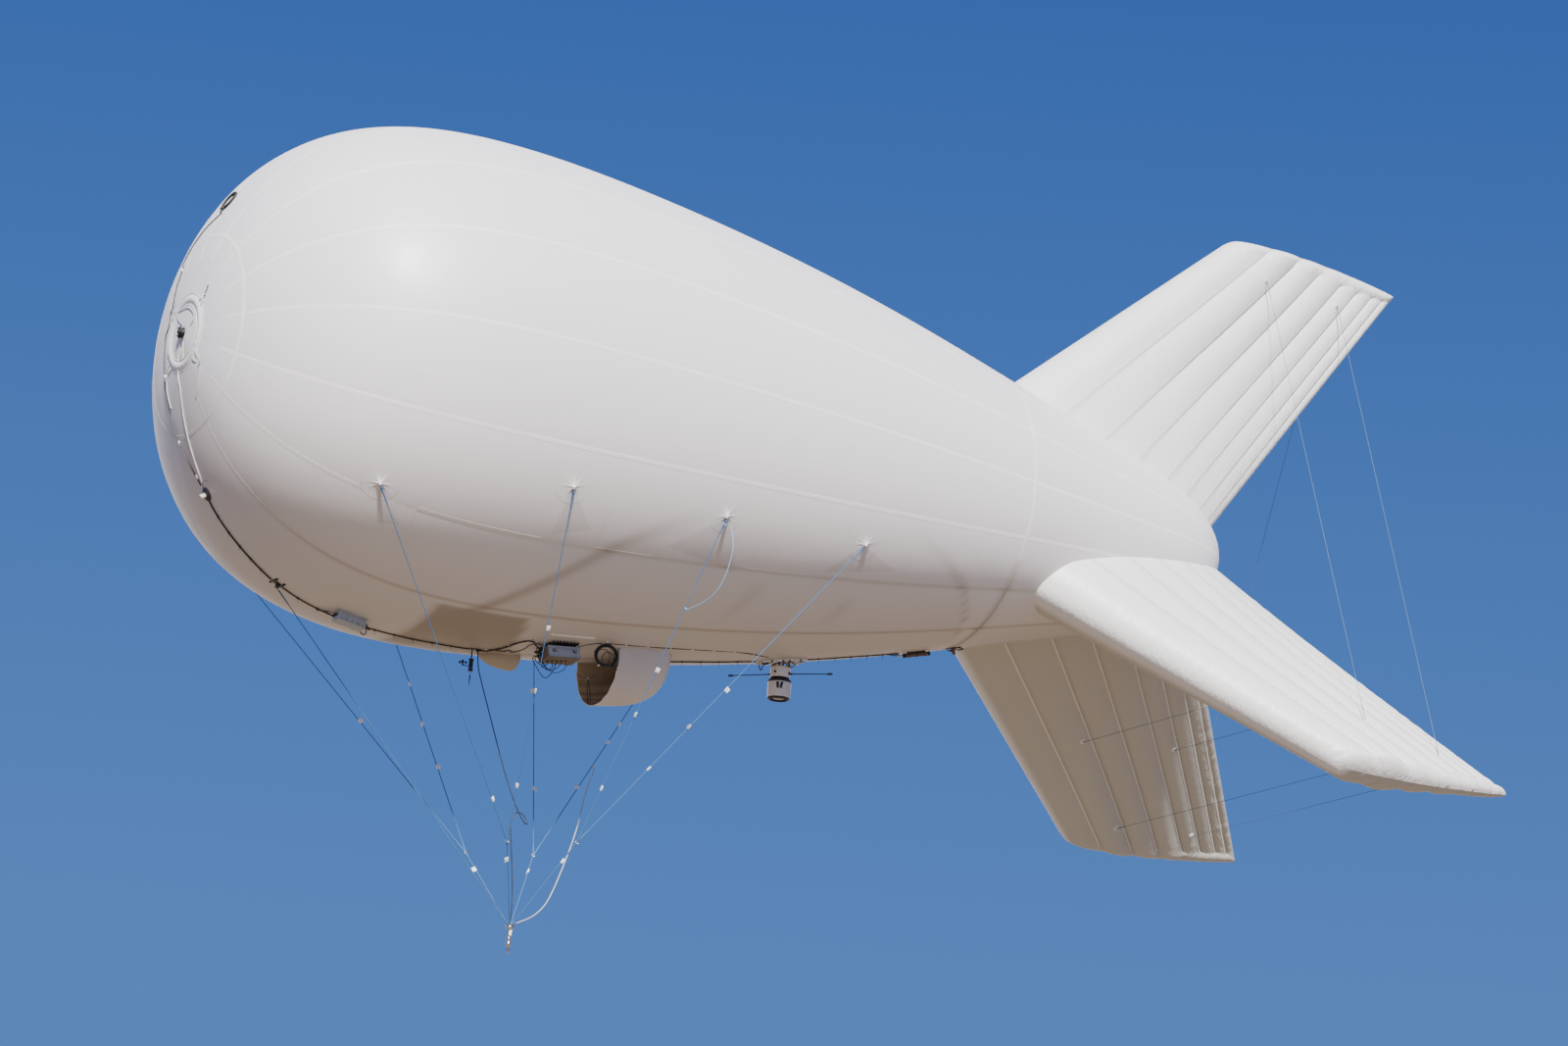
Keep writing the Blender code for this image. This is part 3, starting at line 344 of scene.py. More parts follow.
def on_skin(x, phi, lift=0.0):
    """A point lifted off the hull's fabric, its bulge between the seams included."""
    return on_hull(x, phi, lift + gore_bulge(x, phi))


def hull_frame(x, phi, lift=0.0):
    """A frame on the hull: Z points out, X aft."""
    out = hull_normal(x, phi)
    aft = Vector((1, 0, 0))
    aft = (aft - out * aft.dot(out)).normalized()
    turn = Matrix((aft, out.cross(aft), out)).transposed().to_4x4()
    return Matrix.Translation(on_hull(x, phi, lift)) @ turn


def up(height):
    return Vector((0, 0, height))


def spoke(angle):
    """The direction at an angle about Z."""
    return Vector((math.cos(angle), math.sin(angle), 0))


def spokes(count, first=0.0):
    """Directions at even steps about Z."""
    return [spoke(2 * math.pi * (i + first) / count) for i in range(count)]


def facing(direction):
    """The turn that points Z along a direction."""
    return direction.to_track_quat("Z", "Y").to_matrix().to_4x4()


def turn_of(frame):
    """A frame's turn without its place."""
    return frame.to_3x3().to_4x4()


def grid_faces(rows, columns, closed=False):
    """Quads over a grid of points; closed joins its last column to its first."""
    faces = []
    for row in range(rows - 1):
        for column in range(columns if closed else columns - 1):
            after = (column + 1) % columns
            a, b = row * columns + column, row * columns + after
            faces.append((a, b, b + columns, a + columns))
    return faces


def mesh_object(name, points, faces, finish, sharp=None):
    """A smooth-shaded object from points and faces; edges past the sharp angle stay hard."""
    mesh = bpy.data.meshes.new(name)
    mesh.from_pydata(points, [], faces)
    mesh.materials.append(finish)
    mesh.shade_smooth()
    if sharp:
        mesh.set_sharp_from_angle(angle=math.radians(sharp))
    return link(bpy.data.objects.new(name, mesh))


def put_attribute(obj, name, values):
    made = obj.data.attributes.new(name, "FLOAT", "POINT")
    made.data.foreach_set("value", values)


def smooth_step(value, low, high):
    share = min(max((value - low) / (high - low), 0.0), 1.0)
    return share * share * (3 - 2 * share)


def between(table, value):
    """Reads a curve given as (x, y) pairs, straight between them."""
    if value <= table[0][0]:
        return table[0][1]
    for (a, ya), (b, yb) in zip(table, table[1:]):
        if value <= b:
            return ya + (yb - ya) * (value - a) / (b - a)
    return table[-1][1]


# The ballonet inside shows through as a shadow: the line of its front band and its rear edge, as (x, phi)
BALLONET_FRONT = ((-3.3, 9.0), (-3.01, 15.7), (-2.52, 23.7), (-2.07, 31.0), (-1.72, 36.3), (-1.33, 42.2),
                  (-0.84, 48.2),
                  (-0.4, 52.3), (0.05, 56.6), (0.9, 62.0))
BALLONET_REAR = ((3.9, 69.3), (4.82, 62.5), (5.53, 55.6), (6.24, 44.9), (6.64, 30.3), (6.83, 16.3),
                 (6.85, 0.0))
# Doubled cloth fans out below each lug: the ends of each fan's lower edge, as (x, phi)
FANS = (((-4.98, 38.0), (-4.69, 39.4)), ((-2.21, 46.8), (-1.55, 49.3)), ((-0.07, 48.6), (1.43, 43.4)),
        ((3.12, 46.6), (4.59, 49.4)))


# How dark each painted shadow and shade on the hull is
INSIDE_TONE, BAND_TONE, REAR_TONE, FOOT_TONE, STREAK_TONE = 0.08, 0.42, 0.30, 0.50, 0.14
BELLY_SHADE_TONE, SEAM_TONE, TAIL_SEAM_TONE, FAN_TONE = 0.40, 0.13, 0.3, 0.17
MOST_SHADE = 0.9


def side_angle(phi):
    """How far up from the keel an angle is, on either side."""
    return abs((phi + 180) % 360 - 180)


def ballonet_shade(x, phi):
    """How much the ballonet darkens the hull at a spot."""
    side = side_angle(phi)
    if side > 75 or x < -3.6 or x > 7.1:
        return 0.0
    arc = math.radians(hull_radius(x - NOSE_X))
    front = (between(BALLONET_FRONT, x) - side) * arc if x > -3.3 else -1.0
    rear = (between(BALLONET_REAR, x) - side) * arc if x > 3.9 else 1.0
    inside = smooth_step(front, -0.05, 0.25) * smooth_step(rear, -0.05, 0.10) * smooth_step(62 - side, 0, 20)
    band = math.exp(-((front / 0.17) ** 2)) * smooth_step(61 - side, 0, 16) if x < 0.95 else 0.0
    back = math.exp(-((rear / 0.10) ** 2)) * smooth_step(68 - side, 0, 20) if x > 3.9 else 0.0
    slope = -1.30 - 0.018 * side
    foot = smooth_step(x, -3.40, -3.26) * smooth_step(slope - x, -0.06, 0.06)
    foot *= smooth_step(21.5 - side, 0, 1.6)
    streaks = math.exp(-(((x - 1.80 - 0.02 * (side - 29)) / 0.16) ** 2)) * smooth_step(44 - side, 0, 6)
    streaks += math.exp(-(((x - 3.83 - 0.016 * (side - 31)) / 0.13) ** 2)) * smooth_step(40 - side, 0, 5)
    streaks *= smooth_step(side, 24, 34)
    dark = INSIDE_TONE * inside + BAND_TONE * band * (1 - 0.6 * foot)
    return dark + REAR_TONE * back + FOOT_TONE * foot + STREAK_TONE * streaks


def belly_painted_shade(phi):
    """Painted shade on the belly, deeper toward the keel."""
    return BELLY_SHADE_TONE * smooth_step(60 - side_angle(phi), 0, 50)


def seam_shadow(x, phi):
    """The doubled cloth of a seam shows through as a soft line on the shaded belly."""
    side = side_angle(phi)
    gores = phi / GORE_ANGLE
    off = abs(gores - round(gores)) * GORE_ANGLE * math.radians(hull_radius(x - NOSE_X))
    start = smooth_step(x, -5.4, -4.4) if side > 34 else smooth_step(x, -7.2, -5.2)
    behind = ((x - NOSE_X) / HULL_LENGTH - TAIL_SEAM) * HULL_LENGTH
    tail = math.exp(-((behind / 0.07) ** 2)) * smooth_step(60 - side, 0, 4)
    line = SEAM_TONE * max(1 - off / 0.085, 0) * smooth_step(57 - side, 0, 10) * start
    return line + TAIL_SEAM_TONE * tail


def fan_shade(x, phi):
    """Painted shade of the fans of doubled cloth below the lugs, where they show through the fabric."""
    side = side_angle(phi)
    for (_, top_x, top_phi), ((left_x, left_phi), (right_x, right_phi)) in zip(PATCHES, FANS):
        if not left_x - 0.4 < x < right_x + 0.4 or not 30 < side < top_phi:
            continue
        arc = math.radians(hull_radius(x - NOSE_X))
        low = left_phi + (right_phi - left_phi) * min(max((x - left_x) / (right_x - left_x), 0), 1)
        down = (top_phi - side) / (top_phi - low)
        centre = top_x + ((left_x + right_x) / 2 - top_x) * down
        half = max(0.03 + (right_x - left_x) / 2 * down, 0.02)
        across = abs(x - centre) / half
        edge = smooth_step(1 - across, -0.06, 0.14) * smooth_step((side - low) * arc, -0.02, 0.035)
        return FAN_TONE * edge * smooth_step(down, 0.02, 0.35)
    return 0.0


def hull_shade(x, phi):
    shade = ballonet_shade(x, phi) + belly_painted_shade(phi) + seam_shadow(x, phi) + fan_shade(x, phi)
    return min(shade, MOST_SHADE)


def hull_rows():
    """Places along the hull, closer together at the ends."""
    return [NOSE_X + HULL_LENGTH * (1 - math.cos(math.pi * i / HULL_ROWS)) / 2 for i in range(1, HULL_ROWS)]


def hull():
    columns = GORES * GORE_COLUMNS
    points, shades = [Vector((NOSE_X + HULL_INSET, 0, 0))], [0.0]
    for x in hull_rows():
        for column in range(columns):
            phi = 360.0 * column / columns
            points.append(on_skin(x, phi))
            shades.append(hull_shade(x, phi))
    rows = HULL_ROWS - 1
    faces = [(a + 1, b + 1, c + 1, d + 1) for a, b, c, d in grid_faces(rows, columns, True)]
    faces += [(0, (i + 1) % columns + 1, i + 1) for i in range(columns)]
    last = len(points)
    points.append(Vector((NOSE_X + HULL_LENGTH - HULL_INSET, 0, 0)))
    shades.append(0.0)
    first = (rows - 1) * columns + 1
    faces += [(last, first + i, first + (i + 1) % columns) for i in range(columns)]
    obj = mesh_object("hull", points, faces, envelope_look("hull_fabric"))
    put_attribute(obj, "shade", shades)
    wear(obj, "envelope_fabric", "envelope")


def tape_strip(line, across, width, rise):
    """Points and faces of a flat tape with sloped sides along a line of (point, normal) pairs."""
    points = []
    for (point, normal), side in zip(line, across):
        for share, lift in ((-0.5, -0.001), (-0.42, rise), (0.42, rise), (0.5, -0.001)):
            points.append(point + side * width * share + normal * lift)
    return points, grid_faces(len(line), 4)


def seam_shade(x, phi):
    """Tapes show pale on the sunny side and dark in the shade below."""
    side = side_angle(phi)
    ahead = smooth_step(x, -5.6, -4.8) if side > 34 else smooth_step(x, -7.2, -5.2)
    shade = (0.13 + 0.05 * ahead) * smooth_step(58 - side, 0, 12) + hull_shade(x, phi)
    return min(shade, MOST_SHADE)


def seam_tapes():
    points, faces, shades = [], [], []

    def add(line, across, width, tones):
        new_points, new_faces = tape_strip(line, across, width, TAPE_RISE)
        faces.extend(tuple(i + len(points) for i in face) for face in new_faces)
        points.extend(new_points)
        shades.extend(tone for tone in tones for _ in range(4))

    for gore in range(GORES):
        phi = 360.0 * gore / GORES
        angle = math.radians(phi)
        across = Vector((0, math.cos(angle), -math.sin(angle)))
        xs = [x for x in hull_rows() if x > NOSE_X + NOSE_SEAM * HULL_LENGTH * 0.5][::2]
        xs = [x for x in xs if x < NOSE_X + HULL_LENGTH * 0.998]
        line = [(on_hull(x, phi), hull_normal(x, phi)) for x in xs]
        add(line, [across] * len(line), TAPE_WIDTH, [seam_shade(x, phi) for x in xs])
    for share in (NOSE_SEAM, TAIL_SEAM):
        x = NOSE_X + share * HULL_LENGTH
        phis = [360.0 * i / 240 for i in range(241)]
        line = [(on_hull(x, phi, 0.003), hull_normal(x, phi)) for phi in phis]
        across = [hull_frame(x, phi).col[0].xyz for phi in phis]
        add(line, across, TAPE_WIDTH, [seam_shade(x, phi) for phi in phis])
    obj = mesh_object("seam_tapes", points, faces, tape_look(), 30)
    put_attribute(obj, "shade", shades)
    wear(obj, "envelope_fabric")


# Fins


def fin_flat(share, span):
    """(distance aft of the nose, distance from the axis) of a spot on a fin's middle plane."""
    root = FIN_LEAD_ROOT.lerp(FIN_TRAIL_ROOT, share)
    return root.lerp(FIN_LEAD_TIP.lerp(FIN_TRAIL_TIP, share), span)


def fin_axes(phi):
    angle = math.radians(phi)
    return Vector((0, -math.sin(angle), -math.cos(angle))), Vector((0, math.cos(angle), -math.sin(angle)))


def fin_ends(share):
    """How the section closes: rounded at the leading edge, eased at the trailing edge."""
    if share < FIN_CROWN:
        return math.sqrt(max(1 - (1 - share / FIN_CROWN) ** 2, 0.0))
    last = max(share - (1 + FIN_SEAMS[-1]) / 2, 0.0) / ((1 - FIN_SEAMS[-1]) / 2)
    return math.sqrt(max(1 - last**2, 0.0))


def fin_depth(share, span):
    """Relative half depth: lobes that shrink to the trailing edge, filling out to one curve at the hull."""
    stops = (FIN_CROWN, *FIN_SEAMS, 1.0)
    straight, crest = 1.0, 0.0
    for start, end in zip(stops, stops[1:]):
        if start < share <= end:
            along = (share - start) / (end - start)
            if start == FIN_CROWN:
                straight = 1 - 0.10 * along**1.6
            else:
                aft = (share - FIN_SEAMS[0]) / (1 - FIN_SEAMS[0])
                straight = 0.90 + (FIN_TRAIL_SHARE - 0.90) * aft
                crest = FIN_LOBE_BULGE * (end - start) / 0.2 * math.sin(math.pi * along) ** 0.72
    full = FIN_FULLNESS * math.sqrt(max(1 - ((share - 0.45) / 0.58) ** 2, 0.0))
    near_hull = min(max(1 - span, 0.0), 1.0) ** 1.5
    return ((straight + crest) * (1 - near_hull) + full * near_hull) * fin_ends(share)


def seam_distance(share):
    return min(abs(share - seam) for seam in FIN_SEAMS)


def fin_shares():
    """Places round the section from the leading to the trailing edge, close together at the seams."""
    shares = [FIN_CROWN * (1 - math.cos(math.pi / 2 * i / 12)) for i in range(12)]
    stops = (FIN_CROWN, *FIN_SEAMS, 1.0)
    for start, end in zip(stops, stops[1:]):
        count = 10 if end - start > 0.05 else 7
        shares += [start + (end - start) * (1 - math.cos(math.pi * i / count)) / 2 for i in range(count)]
    return shares + [1.0]


def fin_point(share, span, face, phi):
    """A point on a fin's face: +1 or -1, or 0 on its middle plane."""
    out, side = fin_axes(phi)
    corner = max(span - 0.965, 0.0) / 0.035
    share_start = 0.03 * (1 - math.sqrt(max(1 - corner**2, 0.0)))
    flat = fin_flat(share_start + (1 - share_start) * share, span)
    bow = FIN_TIP_BOW * math.sin(math.pi * share) ** 0.8 * max(span, 0.0) ** 4 if 0 < share < 1 else 0.0
    depth = fin_depth(share, span) * (FIN_ROOT_DEPTH + (FIN_TIP_DEPTH - FIN_ROOT_DEPTH) * span)
    radius = (FIN_TIP_RADIUS * math.sqrt(max(1 - share**2, 0.0)) + FIN_TIP_LEAST) * fin_ends(share)
    from_tip = max(1 - span, 0.0) * FIN_REACH
    if from_tip < radius:
        depth = max(depth, radius) * math.sqrt(max(1 - (1 - from_tip / radius) ** 2, 0.0))
    elif from_tip < 2 * radius:
        depth = max(depth, math.sqrt(radius**2 - (from_tip - radius) ** 2))
    return Vector((flat.x + NOSE_X, 0, 0)) + out * (flat.y + bow) + side * face * depth


def fin_root(share, face, phi):
    """The span at which a fin's face meets the hull."""
    low, high = -0.2, 0.6
    for _ in range(24):
        middle = (low + high) / 2
        point = fin_point(share, middle, face, phi)
        inside = math.hypot(point.y, point.z) < hull_radius(point.x - NOSE_X)
        low, high = (middle, high) if inside else (low, middle)
    return high


def fin(name, phi):
    """An inflated fin of ruled lobes, from its root line on the hull to its round tip."""
    shares = fin_shares()
    loop = [(share, 1) for share in shares] + [(share, -1) for share in reversed(shares[1:-1])]
    roots = [fin_root(share, face, phi) - 0.01 for share, face in loop]
    points, valley_shades, creases, shades = [], [], [], []
    underside = 1 if phi > 0 else -1
    _, side = fin_axes(phi)
    for row in range(FIN_ROWS + 1):
        along = 1 - (1 - row / FIN_ROWS) ** 1.25
        for (share, face), root in zip(loop, roots):
            span = root + (1 - root) * along
            near = math.exp(-seam_distance(share) / 0.012)
            pinch = noise.noise(Vector((share * 9.0, span * 46.0, face * 7.0 + phi)))
            edge = smooth_step(0.10 - share, 0.0, 0.1) + smooth_step(share - 0.86, 0.0, 0.1)
            tip = smooth_step(span, 0.88, 0.97)
            base = fin_point(share, span, face, phi)
            amount = 0.004 * near + 0.008 * edge + 0.011 * tip * (1 - 0.6 * share)
            points.append(base + side * face * pinch * amount)
            # Painted shade in each seam's valley
            valley_shades.append(0.55 * math.exp(-seam_distance(share) / 0.006))
            creases.append(min(0.25 + near + edge + tip, 1.0))
            # Painted shade on the underside face of the two lower fins
            shades.append(0.62 * smooth_step(share, 0.01, 0.05) if face == underside and phi != 180 else 0.0)
    faces = grid_faces(FIN_ROWS + 1, len(loop), True)
    obj = mesh_object(f"{name}_skin", points, faces, fin_look())
    put_attribute(obj, "valley_shade", valley_shades)
    put_attribute(obj, "crease", creases)
    put_attribute(obj, "shade", shades)
    weld = bmesh.new()
    weld.from_mesh(obj.data)
    bmesh.ops.remove_doubles(weld, verts=weld.verts, dist=0.0002)
    bmesh.ops.recalc_face_normals(weld, faces=weld.faces)
    weld.to_mesh(obj.data)
    weld.free()
    obj.data.shade_smooth()
    wear(obj, "envelope_fabric", name)


def fin_tapes(name, phi):
    """The tape sewn along each seam, just ahead of its crease, on both faces."""
    points, faces = [], []
    for face in (1, -1):
        for seam in FIN_SEAMS:
            share = seam - 0.011
            root = fin_root(share, face, phi)
            spans = [root + (0.955 - root) * i / 70 for i in range(71)]
            line = [fin_surface((share, span), face, phi) for span in spans]
            across = []
            for i, (_, normal) in enumerate(line):
                run = line[min(i + 1, 70)][0] - line[max(i - 1, 0)][0]
                across.append(run.cross(normal).normalized())
            line = [(point + normal * 0.004, normal) for point, normal in line]
            new_points, new_faces = tape_strip(line, across, FIN_TAPE_WIDTH, 0.002)
            faces += [tuple(i + len(points) for i in quad) for quad in new_faces]
            points += new_points
    obj = mesh_object(f"{name}_tapes", points, faces, FINISHES["fin_tape"], 30)
    wear(obj, "envelope_fabric")


# Pieces made of several shapes


class Kit:
    """Gathers shapes and the names of their finishes into one piece, in a frame of its own."""

    def __init__(self, frame=None):
        self.frame = frame or Matrix.Identity(4)
        self.points, self.faces, self.marks, self.finishes = [], [], [], []

    def take(self, shape, finish, place=None):
        shape.transform(self.frame @ place if place else self.frame)
        bmesh.ops.recalc_face_normals(shape, faces=shape.faces)
        shape.verts.index_update()
        start = len(self.points)
        self.points += [vert.co.copy() for vert in shape.verts]
        self.faces += [[vert.index + start for vert in face.verts] for face in shape.faces]
        if finish not in self.finishes:
            self.finishes.append(finish)
        self.marks += [self.finishes.index(finish)] * len(shape.faces)
        shape.free()

    def box(self, centre, size, finish, edge=0.004, turn=None):
        shape = bmesh.new()
        bmesh.ops.create_cube(shape, size=1.0, matrix=Matrix.Diagonal((*size, 1.0)))
        offset = min(edge, 0.4 * min(size))
        bmesh.ops.bevel(shape, geom=shape.edges[:], offset=offset, segments=2, profile=0.5, affect="EDGES")
        place = Matrix.Translation(centre)
        self.take(shape, finish, place @ turn if turn else place)

    def pad(self, frame, height, size, finish, edge):
        """A block that lies on a frame at a height above it."""
        self.box(frame @ up(height), size, finish, edge, turn_of(frame))

    def lead(self, stops, count, radius, finish, sides=8):
        """A cable along a smooth curve through stops."""
        self.tube(smooth_route(stops, count), radius, finish, sides)

    def turned(self, profile, finish, place=None, sides=32):
        """A shape turned about Z, from (radius, height) points."""
        shape = bmesh.new()
        rings = []
        for radius, height in profile:
            count = sides if radius > 1e-5 else 1
            angles = [2 * math.pi * i / sides for i in range(count)]
            rings.append(
                [shape.verts.new((radius * math.cos(a), radius * math.sin(a), height)) for a in angles]
            )
        for first, second in zip(rings, rings[1:]):
            for i in range(sides if len(first) + len(second) > 2 else 0):
                j = (i + 1) % sides
                corners = [first[i % len(first)], first[j % len(first)]]
                corners += [second[j % len(second)], second[i % len(second)]]
                shape.faces.new(list(dict.fromkeys(corners)))
        self.take(shape, finish, place)

    def rod(self, start, end, radius, finish, end_radius=None, sides=16, edge=0.0015):
        """A round bar between two points, with eased ends."""
        start, end = Vector(start), Vector(end)
        length = (end - start).length
        last = radius if end_radius is None else end_radius
        ease = min(edge, 0.3 * radius, 0.3 * last, 0.3 * length)
        profile = ((0, 0), (radius - ease, 0), (radius, ease), (last, length - ease), (last - ease, length))
        turn = facing(end - start)
        self.turned((*profile, (0, length)), finish, Matrix.Translation(start) @ turn, sides)

    def ball(self, centre, radius, finish, sides=20, squash=1.0):
        shape = bmesh.new()
        bmesh.ops.create_uvsphere(shape, u_segments=sides, v_segments=sides // 2, radius=radius)
        self.take(shape, finish, Matrix.Translation(centre) @ Matrix.Diagonal((1, 1, squash, 1)))

    def tube(self, points, radius, finish, sides=8, closed=False, swell=None):
        """A rope or wire along points; swell gives its thickness at a share of its length."""
        points = [Vector(point) for point in points]
        count = len(points)
        shape = bmesh.new()
        rings = []
        normal = None
        for i, point in enumerate(points):
            ahead = points[(i + 1) % count] if closed else points[min(i + 1, count - 1)]
            behind = points[i - 1] if closed else points[max(i - 1, 0)]
            run = (ahead - behind).normalized()
            normal = run.orthogonal() if normal is None else normal - run * normal.dot(run)
            normal.normalize()
            other = run.cross(normal)
            size = radius * (swell(i / (count - 1)) if swell else 1.0)
            angles = [2 * math.pi * j / sides for j in range(sides)]
            rings.append(
                [shape.verts.new(point + (normal * math.cos(a) + other * math.sin(a)) * size) for a in angles]
            )
        pairs = list(zip(rings, rings[1:]))
        if closed:
            pairs.append((rings[-1], rings[0]))
        else:
            shape.faces.new(rings[0])
            shape.faces.new(rings[-1])
        for first, second in pairs:
            for j in range(sides):
                k = (j + 1) % sides
                shape.faces.new((first[j], first[k], second[k], second[j]))
        self.take(shape, finish)

    def ring(self, centre, radius, thickness, finish, axis=(0, 0, 1), sides=48, around=10):
        """A round ring about an axis."""
        turn = Vector(axis).to_track_quat("Z", "Y").to_matrix()
        angles = [2 * math.pi * i / sides for i in range(sides)]
        points = [Vector(centre) + turn @ spoke(a) * radius for a in angles]
        self.tube(points, thickness, finish, around, closed=True)

    def strap(self, points, normals, width, thickness, finish):
        """A flat strap along points, lying across their normals."""
        shape = bmesh.new()
        rings = []
        for i, (point, normal) in enumerate(zip(points, normals)):
            point, normal = Vector(point), Vector(normal).normalized()
            run = Vector(points[min(i + 1, len(points) - 1)]) - Vector(points[max(i - 1, 0)])
            side = run.cross(normal).normalized() * width / 2
            lift = normal * thickness
            corners = (point - side, point + side, point + side + lift, point - side + lift)
            rings.append([shape.verts.new(corner) for corner in corners])
        shape.faces.new(rings[0])
        shape.faces.new(rings[-1])
        for first, second in zip(rings, rings[1:]):
            for j in range(4):
                k = (j + 1) % 4
                shape.faces.new((first[j], first[k], second[k], second[j]))
        self.take(shape, finish)

    def done(self, name, slot, *nodes, body="airframe", sharp=35):
        mesh = bpy.data.meshes.new(name)
        mesh.from_pydata(self.points, [], self.faces)
        for finish in self.finishes:
            mesh.materials.append(FINISHES[finish])
        mesh.polygons.foreach_set("material_index", self.marks)
        mesh.shade_smooth()
        mesh.set_sharp_from_angle(angle=math.radians(sharp))
        return wear(link(bpy.data.objects.new(name, mesh)), slot, *nodes, body=body)


def smooth_route(points, count):
    """Points at even steps along a smooth curve through a route's own points."""
    points = [Vector(p) for p in points]
    points = [2 * points[0] - points[1], *points, 2 * points[-1] - points[-2]]
    dense = []
    for a, b, c, d in zip(points, points[1:], points[2:], points[3:]):
        for step in range(20):
            t = step / 20
            dense.append(
                b
                + (c - a) * t / 2
                + (2 * a - 5 * b + 4 * c - d) * t**2 / 2
                + (3 * b - a - 3 * c + d) * t**3 / 2
            )
    dense.append(points[-2])
    lengths = [0.0]
    for a, b in zip(dense, dense[1:]):
        lengths.append(lengths[-1] + (b - a).length)
    route = []
    for i in range(count):
        wanted = lengths[-1] * i / (count - 1)
        reached = [j for j, length in enumerate(lengths) if length <= wanted]
        at = min(reached[-1], len(dense) - 2)
        share = (wanted - lengths[at]) / (lengths[at + 1] - lengths[at])
        route.append(dense[at].lerp(dense[at + 1], share))
    return route


def hull_route(stops, count, lift):
    """Points over the hull along a smooth curve through (x, phi) stops."""
    flat = smooth_route([(x, math.radians(phi) * 4, 0) for x, phi in stops], count)
    return [on_hull(p.x, math.degrees(p.y / 4), lift) for p in flat]


# Finishes of the small pieces


def painted(name, colour, roughness, metallic=0.0, grain=0.0004, dirt=0.25, **sockets):
    """Paint, plastic or metal with a fine grain, uneven gloss and dirt in patches."""
    look = Look(name, colour, roughness, metallic, **sockets)
    look.tint(look.ramp(look.noise(5.0, 6.0, 0.6), 0.48, 0.74, 0.0, dirt), tuple(0.4 * c for c in colour))
    look.rough(look.noise(22.0, 3.0), 0.3, 0.7, max(roughness - 0.08, 0.05), roughness + 0.1)
    look.bump(look.noise(160.0, 3.0), 0.4, grain)
    return look.material


def woven(name, colour, roughness=0.85, threads=380.0, dirt=0.2):
    """Webbing or cloth with a plain weave and a little dirt."""
    look = Look(name, colour, roughness)
    look.tint(look.ramp(look.noise(6.0, 5.0, 0.6), 0.48, 0.74, 0.0, dirt), tuple(0.45 * c for c in colour))
    return weave(look, threads, 0.5, 0.0006).material


def braided(name, colour, second):
    """Braided rope: bright and dark strands that cross."""
    look = Look(name, colour, 0.7)
    strands = look.wave(70.0, "DIAGONAL", 2.0)
    look.tint(look.ramp(strands, 0.55, 0.9, 0.0, 0.6), second)
    return look.bump(strands, 0.6, 0.0012).material


def cable_jacket(name, colour, roughness=0.5):
    look = Look(name, colour, roughness)
    look.tint(look.ramp(look.noise(7.0, 4.0), 0.45, 0.75, 0.0, 0.35), (0.10, 0.09, 0.08))
    return look.bump(look.noise(90.0, 3.0), 0.3, 0.0004).material


def lens_look():
    look = Look("lens_glass", (0.006, 0.007, 0.010), 0.06, Coat_Weight=1.0, Coat_Roughness=0.03)
    look.tint(look.ramp(look.noise(12.0, 3.0), 0.5, 0.8, 0.0, 0.3), (0.02, 0.02, 0.04))
    return look.material


FINISHES = {}


def make_finishes():
    FINISHES.update(
        webbing=woven("webbing", (0.78, 0.77, 0.73)),
        tag=woven("tag_cloth", (0.92, 0.91, 0.88), 0.7),
        fin_tape=woven("fin_tape", (0.74, 0.72, 0.64), 0.5, HULL_THREADS, 0.1),
        rope_blue=braided("rope_blue", (0.035, 0.12, 0.28), (0.09, 0.22, 0.42)),
        rope_guy=braided("rope_guy", (0.06, 0.13, 0.22), (0.14, 0.24, 0.36)),
        rope_white=braided("rope_white", (0.50, 0.50, 0.47), (0.36, 0.36, 0.34)),
        rope_pale=braided("rope_pale", (0.14, 0.34, 0.54), (0.30, 0.52, 0.70)),
        cable=cable_jacket("cable_black", (0.018, 0.018, 0.018)),
        cable_blue=cable_jacket("cable_blue", (0.03, 0.10, 0.30)),
        cable_white=cable_jacket("cable_white", (0.72, 0.71, 0.68)),
        plastic=painted("plastic_black", (0.020, 0.020, 0.022), 0.42),
        rubber=painted("rubber_black", (0.015, 0.015, 0.015), 0.75),
        grey=painted("paint_grey", (0.36, 0.41, 0.45), 0.42, Coat_Weight=0.15),
        white=painted("paint_white", (0.74, 0.73, 0.71), 0.32, Coat_Weight=0.25),
        yellow=painted("paint_yellow", (0.60, 0.46, 0.06), 0.45),
        orange=painted("paint_orange", (0.62, 0.27, 0.05), 0.5),
        steel=painted("steel_brushed", (0.50, 0.50, 0.51), 0.32, 1.0),
        bronze=painted("steel_browned", (0.16, 0.10, 0.07), 0.45, 0.6),
        # Dark brown cloth: painted shade under the payload box
        pocket=woven("pocket_cloth", (0.20, 0.165, 0.13), 0.9, 200.0, 0.3),
        lens=lens_look(),
    )


# Hoods on the belly


def hood_look():
    """Hood fabric, creased where it is sewn to the hull, with patchy tone; its darker base colour and its
    shade attribute are painted shade.
    """
    look = Look("hood_fabric", (0.66, 0.63, 0.60), 0.55)
    look.tint(look.ramp(look.noise(0.9, 4.0), 0.40, 0.72, 0.0, 0.3), (0.48, 0.42, 0.36))
    look.tint(look.attribute("shade"), (0.36, 0.30, 0.22))
    folds = look.noise(1.0, 3.0, 0.6, look.stretched((9.0, 9.0, 1.2)))
    look.bump(folds, 0.5, 0.02)
    return weave(look, HULL_THREADS, 0.05, 0.001).material


def lining_look():
    # Tan-brown with darker stripes along its folds: painted shade inside the hoods
    look = Look("hood_lining", (0.52, 0.43, 0.32), 0.8)
    folds = look.wave(3.0, "Y", 2.0)
    look.tint(look.ramp(folds, 0.35, 0.9, 0.0, 0.6), (0.28, 0.22, 0.155))
    look.bump(folds, 0.4, 0.02)
    return weave(look, 200.0, 0.1, 0.001).material


